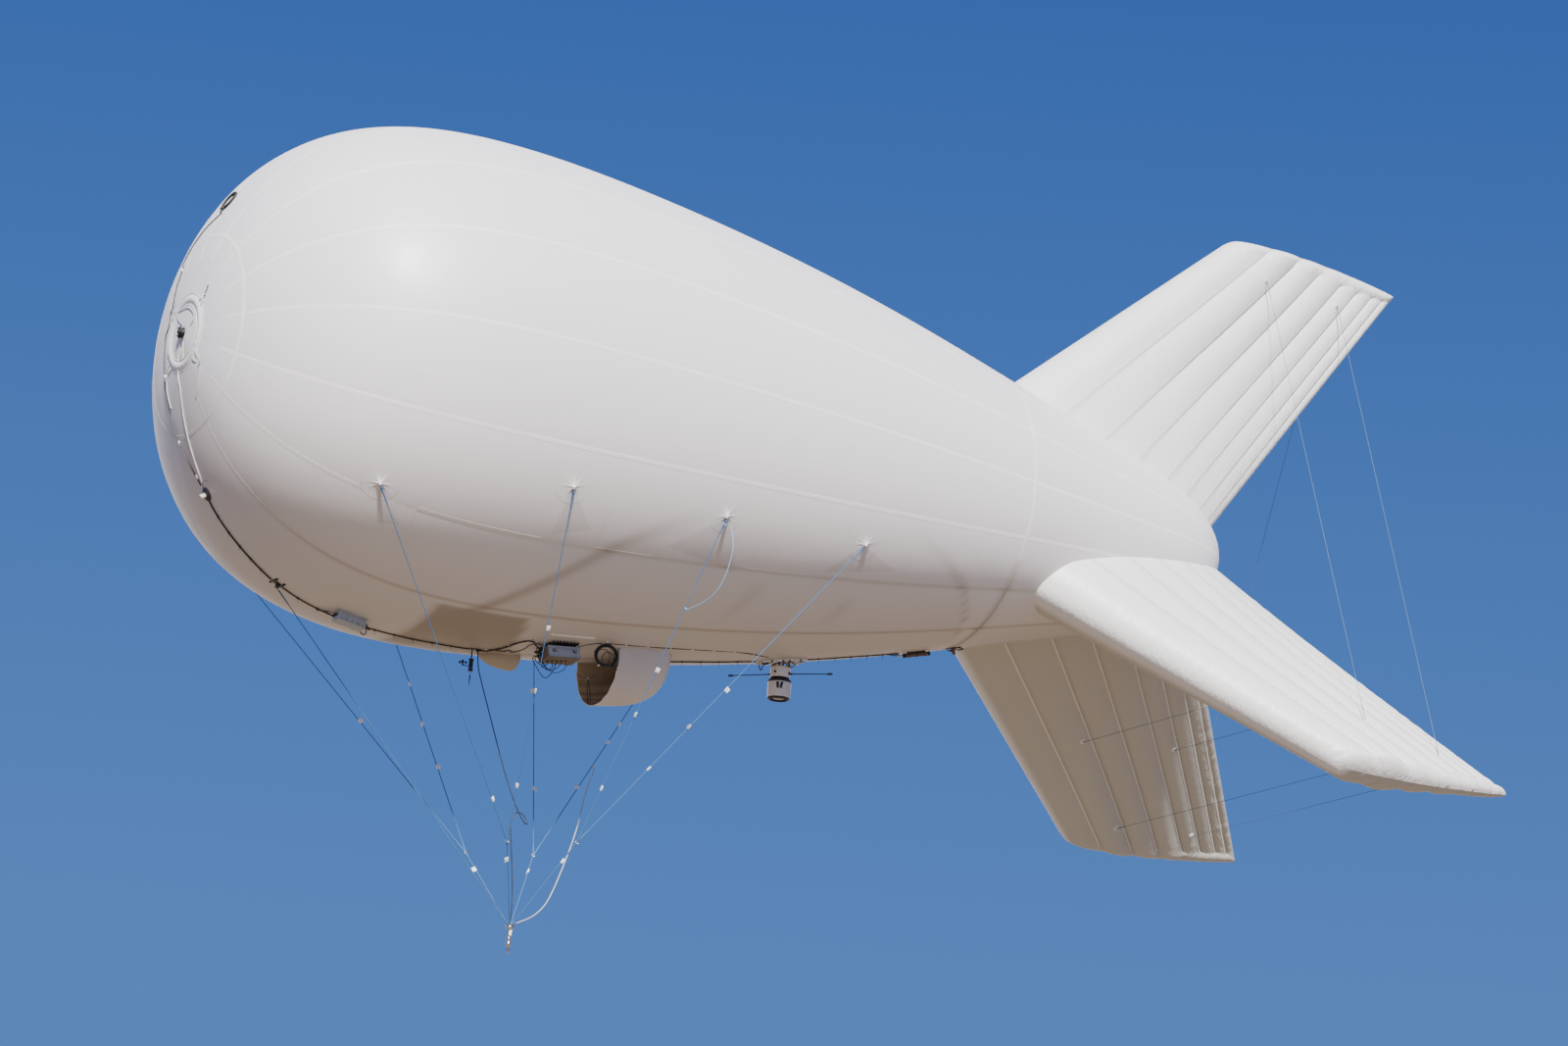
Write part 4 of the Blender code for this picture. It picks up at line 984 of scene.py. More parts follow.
def hood(name, spec, look, lining):
    """A fabric hood: part of an ellipsoid that grows out of the hull, open at its mouth and lined inside."""
    rows, columns = 56, 88
    power = 2 / spec["fullness"]
    points, faces, marks, shades = [], [], [], []
    for shrink_by in (0.0, HOOD_SKIN):
        for row in range(rows + 1):
            early, late = (row / rows) ** (1 / power), (1 - row / rows) ** (1 / power)
            turn = math.pi / 2 * early / (early + late)
            x = spec["mouth"] + spec["reach"] * math.sin(turn) ** power
            shrink = max(math.cos(turn), 0.0) ** power
            for column in range(columns + 1):
                share = 2 * column / columns - 1
                angle = math.pi / 2 * share
                half = max(spec["half_width"] * shrink - shrink_by, 0.0005)
                depth = max(spec["depth"] * shrink - shrink_by, 0.0003)
                y = spec["middle"] + half * math.sin(angle)
                radius = hull_radius(x - NOSE_X)
                root = -math.sqrt(max(radius**2 - y**2, 0.0)) + HULL_INSET
                sag = -depth * math.cos(angle) ** HOOD_ROUNDING - (radius + root) * math.cos(angle)
                pull = noise.noise(Vector((x * 2.3, y * 3.1, 4.0 + spec["middle"]))) * 0.012
                gather = math.sin(angle * 26) * 0.004 * smooth_step(abs(share), 0.72, 0.98)
                point = Vector((x, y, root + sag + pull * math.cos(angle) - gather))
                if row == 0:
                    point.x += 0.006 * math.sin(angle * 18)
                points.append(point)
                # Painted shade: the scoop darkens toward its closed end, the vent all over
                shades.append(smooth_step(row / rows, 0.52, 0.62) * 0.75 if spec["reach"] > 0 else 0.85)
    width = columns + 1
    per_skin = (rows + 1) * width
    for skin in (0, 1):
        for row in range(rows):
            for column in range(columns):
                a = skin * per_skin + row * width + column
                quad = (a, a + 1, a + width + 1, a + width)
                faces.append(quad if skin == 0 else quad[::-1])
                marks.append(skin)
    for column in range(columns):
        faces.append((column + 1, column, per_skin + column, per_skin + column + 1))
        marks.append(0)
    mesh = bpy.data.meshes.new(f"{name}_fabric")
    mesh.from_pydata(points, [], faces)
    mesh.materials.append(look)
    mesh.materials.append(lining)
    mesh.polygons.foreach_set("material_index", marks)
    mesh.shade_smooth()
    mesh.set_sharp_from_angle(angle=math.radians(60))
    obj = link(bpy.data.objects.new(f"{name}_fabric", mesh))
    put_attribute(obj, "shade", shades)
    if spec["reach"] < 0:
        obj.data.flip_normals()
    wear(obj, "envelope_fabric", name)


def scoop_details():
    """What shows in the scoop's mouth: the air inlet, the rim's hem and the rope that holds the rim open."""
    kit = Kit()
    roof = -hull_radius(AIR_INLET_X - NOSE_X) + HULL_INSET
    kit.ring((AIR_INLET_X, 0, roof - 0.004), AIR_INLET_RADIUS, 0.012, "webbing")
    kit.turned(
        ((0.0, 0.0), (AIR_INLET_RADIUS, 0.0), (AIR_INLET_RADIUS, -0.004), (0.0, -0.004)),
        "rubber",
        Matrix.Translation((AIR_INLET_X, 0, roof - 0.002)),
        48,
    )
    kit.done("scoop_inlet", "white_webbing")
    kit = Kit()
    rim = []
    for i in range(61):
        angle = math.pi * (i / 60 - 0.5)
        y = SCOOP["half_width"] * math.sin(angle)
        radius = hull_radius(SCOOP["mouth"] - NOSE_X)
        root = -math.sqrt(radius**2 - y**2) + HULL_INSET
        z = root - SCOOP["depth"] * math.cos(angle) ** HOOD_ROUNDING - (radius + root) * math.cos(angle)
        rim.append((SCOOP["mouth"] + 0.006 * math.sin(angle * 18), y, z))
    kit.tube(rim, 0.008, "webbing")
    kit.done("scoop_hem", "white_webbing")
    kit = Kit()
    mouth = SCOOP["mouth"]
    knot = Vector((mouth, 0.32, -4.19))
    ends = [Vector((mouth, 0.71, -4.06)), Vector((mouth, -0.006, -4.15)), Vector((mouth, -0.454, -4.19))]
    ends += [Vector(rim[34]) + up(0.006), Vector(rim[36]) + up(0.006)]
    for end, bow in zip(ends, (0.02, 0.03, -0.04, -0.03, 0.03)):
        middle = knot.lerp(end, 0.5) + Vector((0, bow, -abs(bow) * 0.4))
        kit.lead([knot, middle, end], 24, 0.006, "cable")
    kit.ball(knot, 0.020, "webbing", 14, 0.8)
    kit.done("scoop_bridle", "black_cable")


# Nose


def nose_aft(radius):
    """How far aft of the nose the hull reaches a radius."""
    low, high = 0.0, 4.0
    for _ in range(40):
        middle = (low + high) / 2
        low, high = (low, middle) if hull_radius(middle) > radius else (middle, high)
    return high


def on_nose(radius, phi, lift=0.0):
    return on_hull(NOSE_X + nose_aft(radius), phi, lift)


def nose_ring(look):
    """The padded ring sewn round the nose pole, with its puckers and its piping; the disc it stands on is not
    drawn.
    """
    rows, columns = 14, 240
    points = []
    for row in range(rows + 1):
        share = row / rows
        for column in range(columns):
            phi = 360.0 * column / columns
            pucker = noise.noise(Vector((math.cos(math.radians(phi)), math.sin(math.radians(phi)), 0)) * 9)
            radius = 0.485 + 0.145 * share
            lift = 0.026 * math.sin(math.pi * share) + 0.004 * pucker * math.sin(math.pi * share)
            points.append(on_nose(radius, phi, lift - 0.001))
    obj = mesh_object("nose_ring_pad", points, grid_faces(rows + 1, columns, True), look)
    # An even painted shade over the pad
    put_attribute(obj, "shade", [0.10] * len(points))
    wear(obj, "envelope_fabric", "nose_ring")
    kit = Kit()
    for radius in (0.46, 0.66):
        route = [on_nose(radius, 360.0 * i / 160, 0.001) for i in range(160)]
        kit.tube(route, 0.006, "webbing", 6, closed=True)
    kit.done("nose_ring_piping", "white_webbing")


def nose_handles():
    """Two webbing handles on each side of the nose, with their rope tails."""
    kit = Kit()
    for side in (1, -1):
        for phi, apex, tail_phi, tail_radius in ((130.0, 0.79, 136.0, 0.93), (45.0, 0.89, 22.0, 1.24)):
            for spread in (-6.5, 6.5):
                stops = [on_nose(0.62 + (apex - 0.62) * i / 5, side * (phi + spread * (1 - i / 5)),
                                 0.004 + 0.012 * math.sin(i)) for i in range(6)]
                normals = [hull_normal(point.x, phi * side) for point in stops]
                kit.strap(stops, normals, 0.045, 0.004, "webbing")
            kit.ring(on_nose(apex + 0.01, side * phi, 0.02), 0.024, 0.006, "steel",
                     hull_normal(-7.5, side * phi))
            tail = [on_nose(apex + (tail_radius - apex) * i / 8, side * (phi + (tail_phi - phi) * i / 8),
                            0.012)
                    for i in range(9)]
            kit.tube(tail, 0.009, "rope_white" if phi < 90 else "plastic")
    kit.done("nose_handles", "white_webbing")


def nose_valve():
    """The black valve at the nose pole, with its gauge port and the white tongue under it."""
    kit = Kit(Matrix.Translation((NOSE_X, 0, 0)) @ Matrix.Rotation(-math.pi / 2, 4, "Y"))
    kit.turned(
        (
            (0.0, 0.030), (0.030, 0.036), (0.052, 0.034), (0.060, 0.026), (0.066, 0.012), (0.083, 0.008),
            (0.085, -0.002), (0.05, -0.006),
        ),
        "plastic",
        None,
        48,
    )
    for i in range(12):
        angle = 2 * math.pi * i / 12
        kit.ball((0.075 * math.cos(angle), 0.075 * math.sin(angle), 0.010), 0.006, "rubber", 10)
    kit.turned(((0, 0.092), (0.028, 0.089), (0.048, 0.078), (0.058, 0.058), (0.060, 0.028)), "rubber", None,
               32)
    for angle in (0.5, 2.6, 4.4):
        out = spoke(angle)
        kit.ball(out * 0.074 + up(0.040), 0.034, "rubber", 18, 0.9)
        kit.rod(out * 0.070 + up(0.060), out * 0.076 + up(0.086), 0.012, "plastic")
    kit.box((-0.155, 0.02, -0.004), (0.15, 0.055, 0.010), "plastic", 0.004)
    kit.done("nose_valve_body", "black_plastic", "nose_valve")
    kit = Kit()
    for phi, start, end, width in ((8.0, 0.16, 0.46, 0.055), (-14.0, 0.10, 0.40, 0.040)):
        stops = [on_nose(start + (end - start) * i / 6, phi, 0.004) for i in range(7)]
        kit.strap(stops, [hull_normal(-7.58, phi)] * 7, width, 0.003, "tag")
    kit.done("nose_tongues", "white_webbing")


def nose_hoop():
    """The hoop above the nose: a black ring on a clamp, tied down with webbing."""
    frame = hull_frame(HOOP_X, 180.0)
    kit = Kit(frame)
    kit.ring((0, 0, HOOP_THICKNESS), HOOP_RADIUS, HOOP_THICKNESS * 1.2, "rubber", sides=72, around=14)
    kit.ring((0, 0, HOOP_THICKNESS + 0.003), HOOP_RADIUS - 0.012, HOOP_THICKNESS * 0.5, "rubber", sides=72)
    kit.box((-HOOP_RADIUS - 0.01, 0, 0.030), (0.075, 0.085, 0.050), "plastic", 0.008)
    kit.rod((-HOOP_RADIUS - 0.045, 0, 0.03), (-HOOP_RADIUS - 0.115, 0, 0.018), 0.020, "plastic", 0.012)
    for side in (-1, 1):
        kit.box((0, side * HOOP_RADIUS, 0.017), (0.024, 0.044, 0.038), "rubber", 0.005)
        kit.rod((-HOOP_RADIUS - 0.01, side * 0.025, 0.050), (-HOOP_RADIUS - 0.01, side * 0.025, 0.060), 0.007,
                "rubber")
    kit.done("nose_hoop_ring", "black_plastic", "nose_hoop")


def lamp():
    """The navigation lamp: a black saucer with a ribbed white lens; its wire is drawn with the nose's cables.
    """
    kit = Kit(hull_frame(LAMP_X, 0.0, HULL_INSET))
    kit.turned(((0, 0.038), (0.052, 0.038), (0.072, 0.034), (0.110, 0.016), (0.118, 0.002), (0.0, -0.002)),
               "plastic", None, 48)
    profile = [(0.0, 0.128), (0.028, 0.126), (0.036, 0.118)]
    for i in range(7):
        height = 0.112 - 0.011 * i
        profile += [(0.042, height), (0.039, height - 0.0055)]
    profile += [(0.042, 0.034), (0.0, 0.034)]
    kit.turned(profile, "cable_white", None, 40)
    for angle in (0.4, 2.5, 4.6):
        kit.rod((0.066 * math.cos(angle), 0.066 * math.sin(angle), 0.016),
                (0.066 * math.cos(angle), 0.066 * math.sin(angle), 0.030), 0.007, "steel", sides=6)
    kit.done("lamp_body", "white_paint", "nose_lamp")


# (x, phi) stops of the cable that lies on the nose from the valve down to the lamp
VALVE_CABLE = ((-7.587, -17.0), (-7.55, -8.0), (-7.516, -2.6), (-7.341, -0.2), (-7.10, 0.8), (-7.0, 0.6))


def nose_points(stops, count, lift):
    """Points over the nose through (x, phi) stops, taken as places in the plane across the axis."""
    plane = []
    for x, phi in stops:
        radius, angle = hull_radius(x - NOSE_X), math.radians(phi)
        plane.append(Vector((radius * math.sin(angle), radius * math.cos(angle), 0)))
    route = []
    for spot in smooth_route(plane, count):
        route.append(on_nose(spot.length, math.degrees(math.atan2(spot.x, spot.y)), lift))
    return route


def nose_wiring():
    """The cables on the nose, held by tabs of cloth."""
    kit = Kit()
    top = [(-7.15, 179.0), (-7.21, -168.0), (-7.258, -157.5), (-7.321, -148.2), (-7.393, -149.7),
           (-7.461, -142.1)]
    top += [(-7.521, -131.8), (-7.529, -123.8), (-7.549, -110.9)]
    side = [(-7.54, -95.0), (-7.522, -50.1), (-7.476, -36.1), (-7.264, -9.3), (-7.061, -2.4), (-6.985, -1.2)]
    kit.tube(nose_points(top + side, 120, 0.012), 0.009, "cable")
    kit.tube(nose_points(VALVE_CABLE, 60, 0.009), 0.0075, "cable_white")
    loop = [(-7.598, -159.0), (-7.587, -136.2), (-7.574, -138.0), (-7.582, -160.0), (-7.585, 165.9),
            (-7.585, 129.8)]
    kit.tube(nose_points([*loop, (-7.587, 111.1), (-7.593, 104.4)], 50, 0.010), 0.0065, "grey")
    for x, phi in ((-7.52, -128.0), (-7.522, -50.1), (-7.061, -1.6), (-7.30, -12.0), (-7.39, -149.0)):
        frame = hull_frame(x, phi)
        kit.pad(frame, 0.014, (0.07, 0.05, 0.022), "tag", 0.006)
    hood_end = [hull_frame(-7.0, phi) @ up(lift) for phi, lift in ((4.0, 0.01), (5.2, 0.05), (4.0, 0.08))]
    kit.lead([*hood_end, hull_frame(-6.93, 1.5) @ up(0.06)], 20, 0.005, "cable")
    kit.done("nose_wiring", "black_cable")


# Cables along the keel


def keel_cable(name, stops, radius, node, ties, finish="cable", wave=0.25):
    """A cable over the belly, a little slack between its ties."""
    kit = Kit()
    count = 90
    route = hull_route(stops, count, radius + 0.001)
    wavy = []
    for i, point in enumerate(route):
        share = i / (count - 1)
        ease = min(1.0, 12 * share, 12 * (1 - share))
        sway = noise.noise(Vector((point.x * 2.1, 7.7, stops[0][0]))) * wave * 0.08 * ease
        wavy.append(point + Vector((0, sway, 0)))
    kit.tube(wavy, radius, finish, 8)
    for i in range(1, ties + 1):
        at = wavy[i * (count - 1) // (ties + 1)]
        kit.box(at, (0.020, 0.055, 0.022), "rubber", 0.004)
        kit.rod(at, at + Vector((0.006, -0.012, -0.075)), 0.004, "rubber", 0.002, 6)
    kit.done(name, "black_cable", node)


def keel_cables():
    keel_cable("nose_cable_run", [(-6.86, 0.0), (-6.3, 0.8), (-5.62, 0.0)], 0.014, "nose_cable", 5)
    keel_cable("keel_cable_fore_run", [(-5.42, 0.0), (-4.6, -0.4), (-3.2, 0.4), (-1.97, 0.0)], 0.011,
               "keel_cable_fore", 9)
    keel_cable("keel_cable_aft_run", [(1.64, 0.0), (2.5, 0.4), (3.38, 0.0)], 0.011, "keel_cable_aft", 4)
    keel_cable("tail_cable_run", [(4.30, 0.0), (5.2, 0.5), (6.15, 0.0)], 0.010, "tail_cable", 5)
    port = [(-0.34, 9.6), (-0.18, 12.0), (0.04, 12.9), (0.39, 12.9), (0.75, 12.4), (1.63, 11.9), (2.84, 9.8)]
    kit = Kit()
    route = hull_route([*port, (3.45, 5.5)], 110, 0.008)
    kit.tube([p + Vector((0, 0, 0.012 * noise.noise(p * 2.2))) for p in route], 0.008, "cable")
    for i in range(1, 9):
        at = route[i * 12]
        kit.box(at, (0.028, 0.030, 0.016), "tag", 0.004)
    kit.done("port_cable_run", "black_cable")


# Payload on the belly


def forward_box():
    """The grey electronics box ahead of the payload, with its lid screws, plug and looped lead."""
    frame = hull_frame(FORWARD_BOX_X, FORWARD_BOX_PHI)
    kit = Kit(frame)
    kit.box((0, 0, 0.088), (0.51, 0.23, 0.155), "grey", 0.014)
    kit.box((0, 0, 0.012), (0.52, 0.24, 0.018), "grey", 0.005)
    kit.box((0, 0, 0.157), (0.52, 0.24, 0.012), "grey", 0.005)
    for side in (-1, 1):
        for i in range(5):
            at = -0.20 + 0.10 * i
            kit.rod((at, side * 0.117, 0.128), (at, side * 0.124, 0.128), 0.009, "plastic", sides=12)
        for i in (-1, 1):
            kit.box((i * 0.13, side * 0.119, 0.150), (0.05, 0.012, 0.035), "steel", 0.003)
    for y, radius in ((-0.065, 0.022), (0.0, 0.018), (0.06, 0.018)):
        kit.rod((0.255, y, 0.08), (0.300, y, 0.08), radius, "plastic", radius * 0.8)
        kit.rod((-0.255, y, 0.08), (-0.290, y, 0.08), radius, "plastic", radius * 0.8)
    kit.done("forward_box_case", "grey_paint", "forward_box")
    kit = Kit(frame)
    loop = [(0.298, -0.065, 0.08), (0.34, -0.08, 0.085), (0.375, -0.11, 0.12), (0.35, -0.13, 0.17)]
    loop += [(0.29, -0.12, 0.16), (0.28, -0.14, 0.11), (0.33, -0.19, 0.05), (0.40, -0.225, 0.020),
             (0.48, -0.236, 0.014)]
    kit.lead(loop, 60, 0.009, "cable")
    for y in (-1, 1):
        lead = [(-0.288, y * 0.06, 0.08), (-0.33, y * 0.05 - 0.01, 0.07), (-0.38, y * 0.03 - 0.09, 0.035),
                (-0.43, y * 0.012 - 0.18, 0.020), (-0.50, -0.236, 0.016)]
        kit.lead(lead, 30, 0.008, "cable")
    kit.done("forward_box_leads", "black_cable")


def main_box():
    """The payload box: case, lid, latches, a dark cloth tray over its bottom and fore end that is painted
    shade, connectors and their leads, and cooling ribs.
    """
    place = hull_frame(MAIN_BOX_X, MAIN_BOX_PHI)
    length, width, depth = MAIN_BOX_SIZE
    middle = MAIN_BOX_LIFT + depth / 2
    kit = Kit(place)
    kit.box((0, 0, middle), (length - 0.01, width - 0.012, depth - 0.008), "grey", 0.016)
    kit.box((0, 0, MAIN_BOX_LIFT + 0.018), (length, width, 0.014), "grey", 0.004)
    kit.box((0, 0, MAIN_BOX_LIFT + depth - 0.030), (length, width, 0.010), "grey", 0.004)
    for side in (-1, 1):
        face = side * (width / 2 - 0.004)
        for x in (-0.19, 0.19):
            kit.box((x, face, middle - 0.01), (0.060, 0.020, 0.052), "plastic", 0.006)
            kit.box((x, face + side * 0.010, middle - 0.012), (0.034, 0.010, 0.030), "steel", 0.004)
        kit.box((0.0, face, middle), (0.26, 0.005, 0.115), "grey", 0.002)
        for i in range(9):
            x = -0.28 + 0.07 * i
            kit.rod((x, face, MAIN_BOX_LIFT + depth - 0.016),
                    (x, face + side * 0.007, MAIN_BOX_LIFT + depth - 0.016),
                    0.006, "steel", sides=10)
    kit.done("main_box_case", "grey_paint", "main_box")
    kit = Kit(place)
    bottom = MAIN_BOX_LIFT + depth
    # Dark brown cloth over the bottom and fore end: painted shade under the box
    kit.box((-0.015, 0.012, bottom - 0.002), (length + 0.012, width - 0.03, 0.010), "pocket", 0.004)
    kit.box((-length / 2 - 0.004, 0.01, middle), (0.008, width - 0.04, depth - 0.03), "pocket", 0.003)
    for x in (-0.22, 0.0, 0.22):
        kit.box((x, 0, bottom + 0.004), (0.045, width + 0.006, 0.004), "pocket", 0.0015)
    kit.done("main_box_shade_tray", "black_cable")
    kit = Kit(place)
    kit.box((0, 0, 0.008), (0.52, 0.30, 0.014), "plastic", 0.003)
    for i in range(8):
        kit.box((-0.225 + 0.0643 * i, 0.045, 0.030), (0.010, 0.46, 0.040), "plastic", 0.003)
    kit.done("cooling_rib_set", "black_plastic", "cooling_ribs")
    kit = Kit(place)
    end = -length / 2
    plugs = ((-0.14, 0.085, 0.026), (-0.06, 0.10, 0.024), (0.02, 0.07, 0.020), (0.09, 0.11, 0.022))
    plugs += ((-0.11, 0.165, 0.020), (-0.03, 0.18, 0.020), (0.06, 0.175, 0.018))
    for y, z, radius in plugs:
        kit.rod((end, y, z), (end - 0.022, y, z), radius * 1.25, "steel", sides=20)
        kit.rod((end - 0.020, y, z), (end - 0.062, y, z), radius, "plastic", radius * 0.85, 20)
        kit.rod((end - 0.060, y, z), (end - 0.085, y, z), radius * 0.6, "rubber", radius * 0.4, 14)
    kit.done("main_box_plugs", "black_plastic")
    kit = Kit(place)
    low = bottom + 0.004
    for i, (y, z, radius) in enumerate(plugs[2:]):
        drop = 0.10 + 0.035 * ((i * 2) % 5)
        reach = end + 0.06 + 0.075 * i
        loop = [(end - 0.082, y, z), (end - 0.125, y, z + 0.02), (end - 0.120, y - 0.02, z + 0.09)]
        loop += [((end + reach) / 2 - 0.05, y - 0.05, low + drop),
                 (reach - 0.02, y - 0.03, low + drop * 0.75)]
        loop += [(reach + 0.03, -0.05 + 0.02 * i, low + 0.03), (reach + 0.02, -0.02 + 0.02 * i, low)]
        kit.lead(loop, 60, 0.008 - 0.0006 * i, "cable")
        kit.rod((reach + 0.02, -0.02 + 0.02 * i, low - 0.008),
                (reach + 0.021, -0.02 + 0.02 * i, low + 0.022), 0.016,
                "plastic", 0.012, 14)
    kit.done("main_box_leads", "black_cable")
    kit = Kit()
    strip = [on_skin(-1.06 + 0.83 * i / 20, 15.4, 0.0015) for i in range(21)]
    normals = [hull_normal(point.x, 15.4) for point in strip]
    kit.strap(strip, normals, 0.055, 0.004, "tag")
    for i in (1, 19):
        kit.strap(strip[i : i + 2], normals[i : i + 2], 0.075, 0.006, "webbing")
    kit.done("box_strip", "white_webbing")


def harness():
    """The thick cable from the clamp to the payload box, with a thinner one beside it, both tied."""
    clamp = hull_frame(CLAMP_X, 0.0)
    lift = HARNESS_RADIUS + HARNESS_LIFT
    start = CLAMP_SIZE[0] / 2 + GAP
    stops = [(-1.72, 0.2), (-1.64, 1.2), (-1.53, 4.6), (-1.44, 8.6), (-1.32, 10.8), (-1.20, 10.6)]
    place = hull_frame(MAIN_BOX_X, MAIN_BOX_PHI)
    end = -MAIN_BOX_SIZE[0] / 2 - GAP
    route = [
        clamp @ Vector((start + 0.02, 0, lift)),
        *hull_route(stops, 32, lift),
        place @ Vector((end - 0.12, 0.02, 0.045)),
        place @ Vector((end - 0.055, 0.0, 0.085)),
        place @ Vector((end - 0.02, 0.0, 0.10)),
    ]
    route = [clamp @ Vector((start, 0, lift)), *smooth_route(route, 110)]
    kit = Kit()
    kit.tube(route, HARNESS_RADIUS, "cable", 12)
    for i in (8, 26, 44, 60, 74, 86, 96):
        frame_out = (route[i + 1] - route[i]).normalized()
        kit.rod(route[i] - frame_out * 0.010, route[i] + frame_out * 0.010, 0.0155, "rubber", None, 14)
    kit.done("harness_cable", "black_cable", "harness")
    kit = Kit()
    stops = [(-1.66, 1.6), (-1.54, 1.5), (-1.40, 1.6), (-1.34, 2.8), (-1.25, 1.6), (-1.18, 3.2), (-1.16, 5.6)]
    stops += [(-1.18, 8.2), (-1.10, 9.4), (-1.01, 9.2)]
    side = hull_route(stops, 90, 0.009)
    kit.tube(side, 0.008, "cable")
    kit.tube([p + Vector((0, 0.020, -0.004)) for p in side[20:62]], 0.005, "cable_blue")
    kit.done("harness_side_cable", "black_cable")
    kit = Kit()
    for x, phi in ((-1.69, 0.8), (-1.30, 12.2), (-1.49, 6.6), (-1.13, 10.9)):
        frame = hull_frame(x, phi)
        kit.pad(frame, 0.004, (0.055, 0.035, 0.010), "webbing", 0.003)
        kit.rod(frame @ Vector((0, 0.01, 0.006)), frame @ Vector((0.01, 0.03, 0.055)), 0.004, "rubber")
    kit.done("harness_ties", "white_webbing")


def clamp_body():
    frame = hull_frame(CLAMP_X, 0.0)
    kit = Kit(frame)
    length, width, depth = CLAMP_SIZE
    kit.box((0, 0, depth / 2), (length, width, depth), "plastic", 0.006)
    kit.box((0, 0, 0.004), (length + 0.04, width + 0.05, 0.006), "rubber", 0.002)
    for side in (-1, 1):
        kit.rod((side * 0.018, 0, depth - 0.002), (side * 0.018, 0, depth + 0.006), 0.007, "steel")
    kit.rod((0, 0, depth - 0.004), (0, 0, depth + 0.035), 0.014, "rubber", 0.0095, 16)
    kit.done("cable_clamp_body", "black_plastic", "cable_clamp")


def power_cable():
    """The slack cable from the belly clamp down to the confluence, hanging free."""
    clamp = hull_frame(CLAMP_X, 0.0)
    depth = CLAMP_SIZE[2]
    stops = [
        CONFLUENCE + up(CONFLUENCE_RADIUS + GAP),
        (-0.785, 0.0, -8.45), (-0.80, 0.0, -8.05), (-0.85, 0.0, -7.62), (-0.90, 0.0, -7.25),
        (-0.93, 0.01, -6.95), (-0.88, 0.03, -6.77), (-0.78, 0.03, -6.72), (-0.68, 0.01, -6.79),
        (-0.64, -0.02, -6.90), (-0.72, -0.04, -6.88), (-0.88, -0.04, -6.66), (-1.10, -0.02, -6.21),
        (-1.30, 0.0, -5.70), (-1.50, 0.0, -5.20), (-1.66, 0.0, -4.80), (-1.77, 0.0, -4.50),
        clamp @ up(depth + 0.06),
        clamp @ up(depth + GAP),
    ]
    points = smooth_route(stops, 110)[::-1]
    kit = Kit()
    kit.tube(points, POWER_CABLE_RADIUS, "cable", 12)
    obj = kit.done("slack_power_cable", "black_cable", "power_cable")


def coil_frame():
    """A frame in the coil's middle: X and Z in its plane, Y across it."""
    middle = hull_frame(COIL_X, COIL_PHI).translation - up(COIL_DROP)
    return Matrix.Translation(middle) @ Matrix.Rotation(-COIL_TURN, 4, "Z")


def coil_cord():
    """The spare cable: turns wound into a coil that hangs beside the box, tied to its hanger."""
    top = hull_frame(COIL_X, COIL_PHI)
    middle = coil_frame()
    turns, steps = 6, 40
    lanes = ((0.150, -0.012), (0.174, 0.006), (0.192, -0.010), (0.166, -0.018), (0.186, 0.014),
             (0.158, 0.016),
             (0.176, -0.004))
    stops = []
    for i in range(turns * steps + 1):
        angle = math.pi / 2 + 2 * math.pi * i / steps
        lane = min(i // steps, turns - 1)
        share = smooth_step(i / steps - lane, 0.2, 0.8)
        radius = lanes[lane][0] * (1 - share) + lanes[lane + 1][0] * share
        side = lanes[lane][1] * (1 - share) + lanes[lane + 1][1] * share
        stops.append(middle @ Vector((radius * math.cos(angle), side, radius * math.sin(angle))))
    kit = Kit()
    kit.tube(stops, COIL_CABLE_RADIUS, "cable", 10)
    obj = kit.done("coil_turns", "black_cable", "cable_coil")
    kit = Kit(middle)
    for radius, offset, lean in ((0.118, (-0.050, -0.004, -0.034), 0.3),
                                 (0.098, (0.036, 0.006, -0.052), -0.2)):
        ring = []
        for i in range(48):
            angle = 2 * math.pi * i / 48
            across, rise = math.cos(angle), math.sin(angle)
            spot = Vector((radius * across, radius * lean * 0.2 * rise, radius * 1.18 * rise))
            ring.append(Vector(offset) + spot)
        kit.tube(ring, 0.0065, "cable", closed=True)
    for i in range(5):
        angle = 2 * math.pi * (i + 0.3) / 5
        spot = Vector((0.172 * math.cos(angle), 0, 0.172 * math.sin(angle)))
        run = Vector((-math.sin(angle), 0, math.cos(angle)))
        kit.rod(spot - run * 0.008, spot + run * 0.008, 0.036, "rubber", None, 20)
    kit.rod((0.10, 0, -0.17), (0.20, 0, -0.215), 0.018, "plastic", 0.013)
    kit.rod((-0.10, -0.02, -0.165), (-0.125, -0.02, -0.19), 0.012, "tag", 0.010)
    kit.done("coil_ties", "black_cable")
    kit = Kit()
    kit.pad(top, 0.006, (0.05, 0.045, 0.010), "tag", 0.003)
    for side in (-1, 1):
        start = top.translation + Vector((0.008 * side, 0.0, -0.004))
        end = middle @ Vector((0.014 * side, 0.0, 0.205))
        kit.tube([start, start.lerp(end, 0.5) + Vector((0.004 * side, 0, 0)), end], 0.005, "webbing")
    kit.done("coil_hanger_strap", "white_webbing", "coil_hanger")


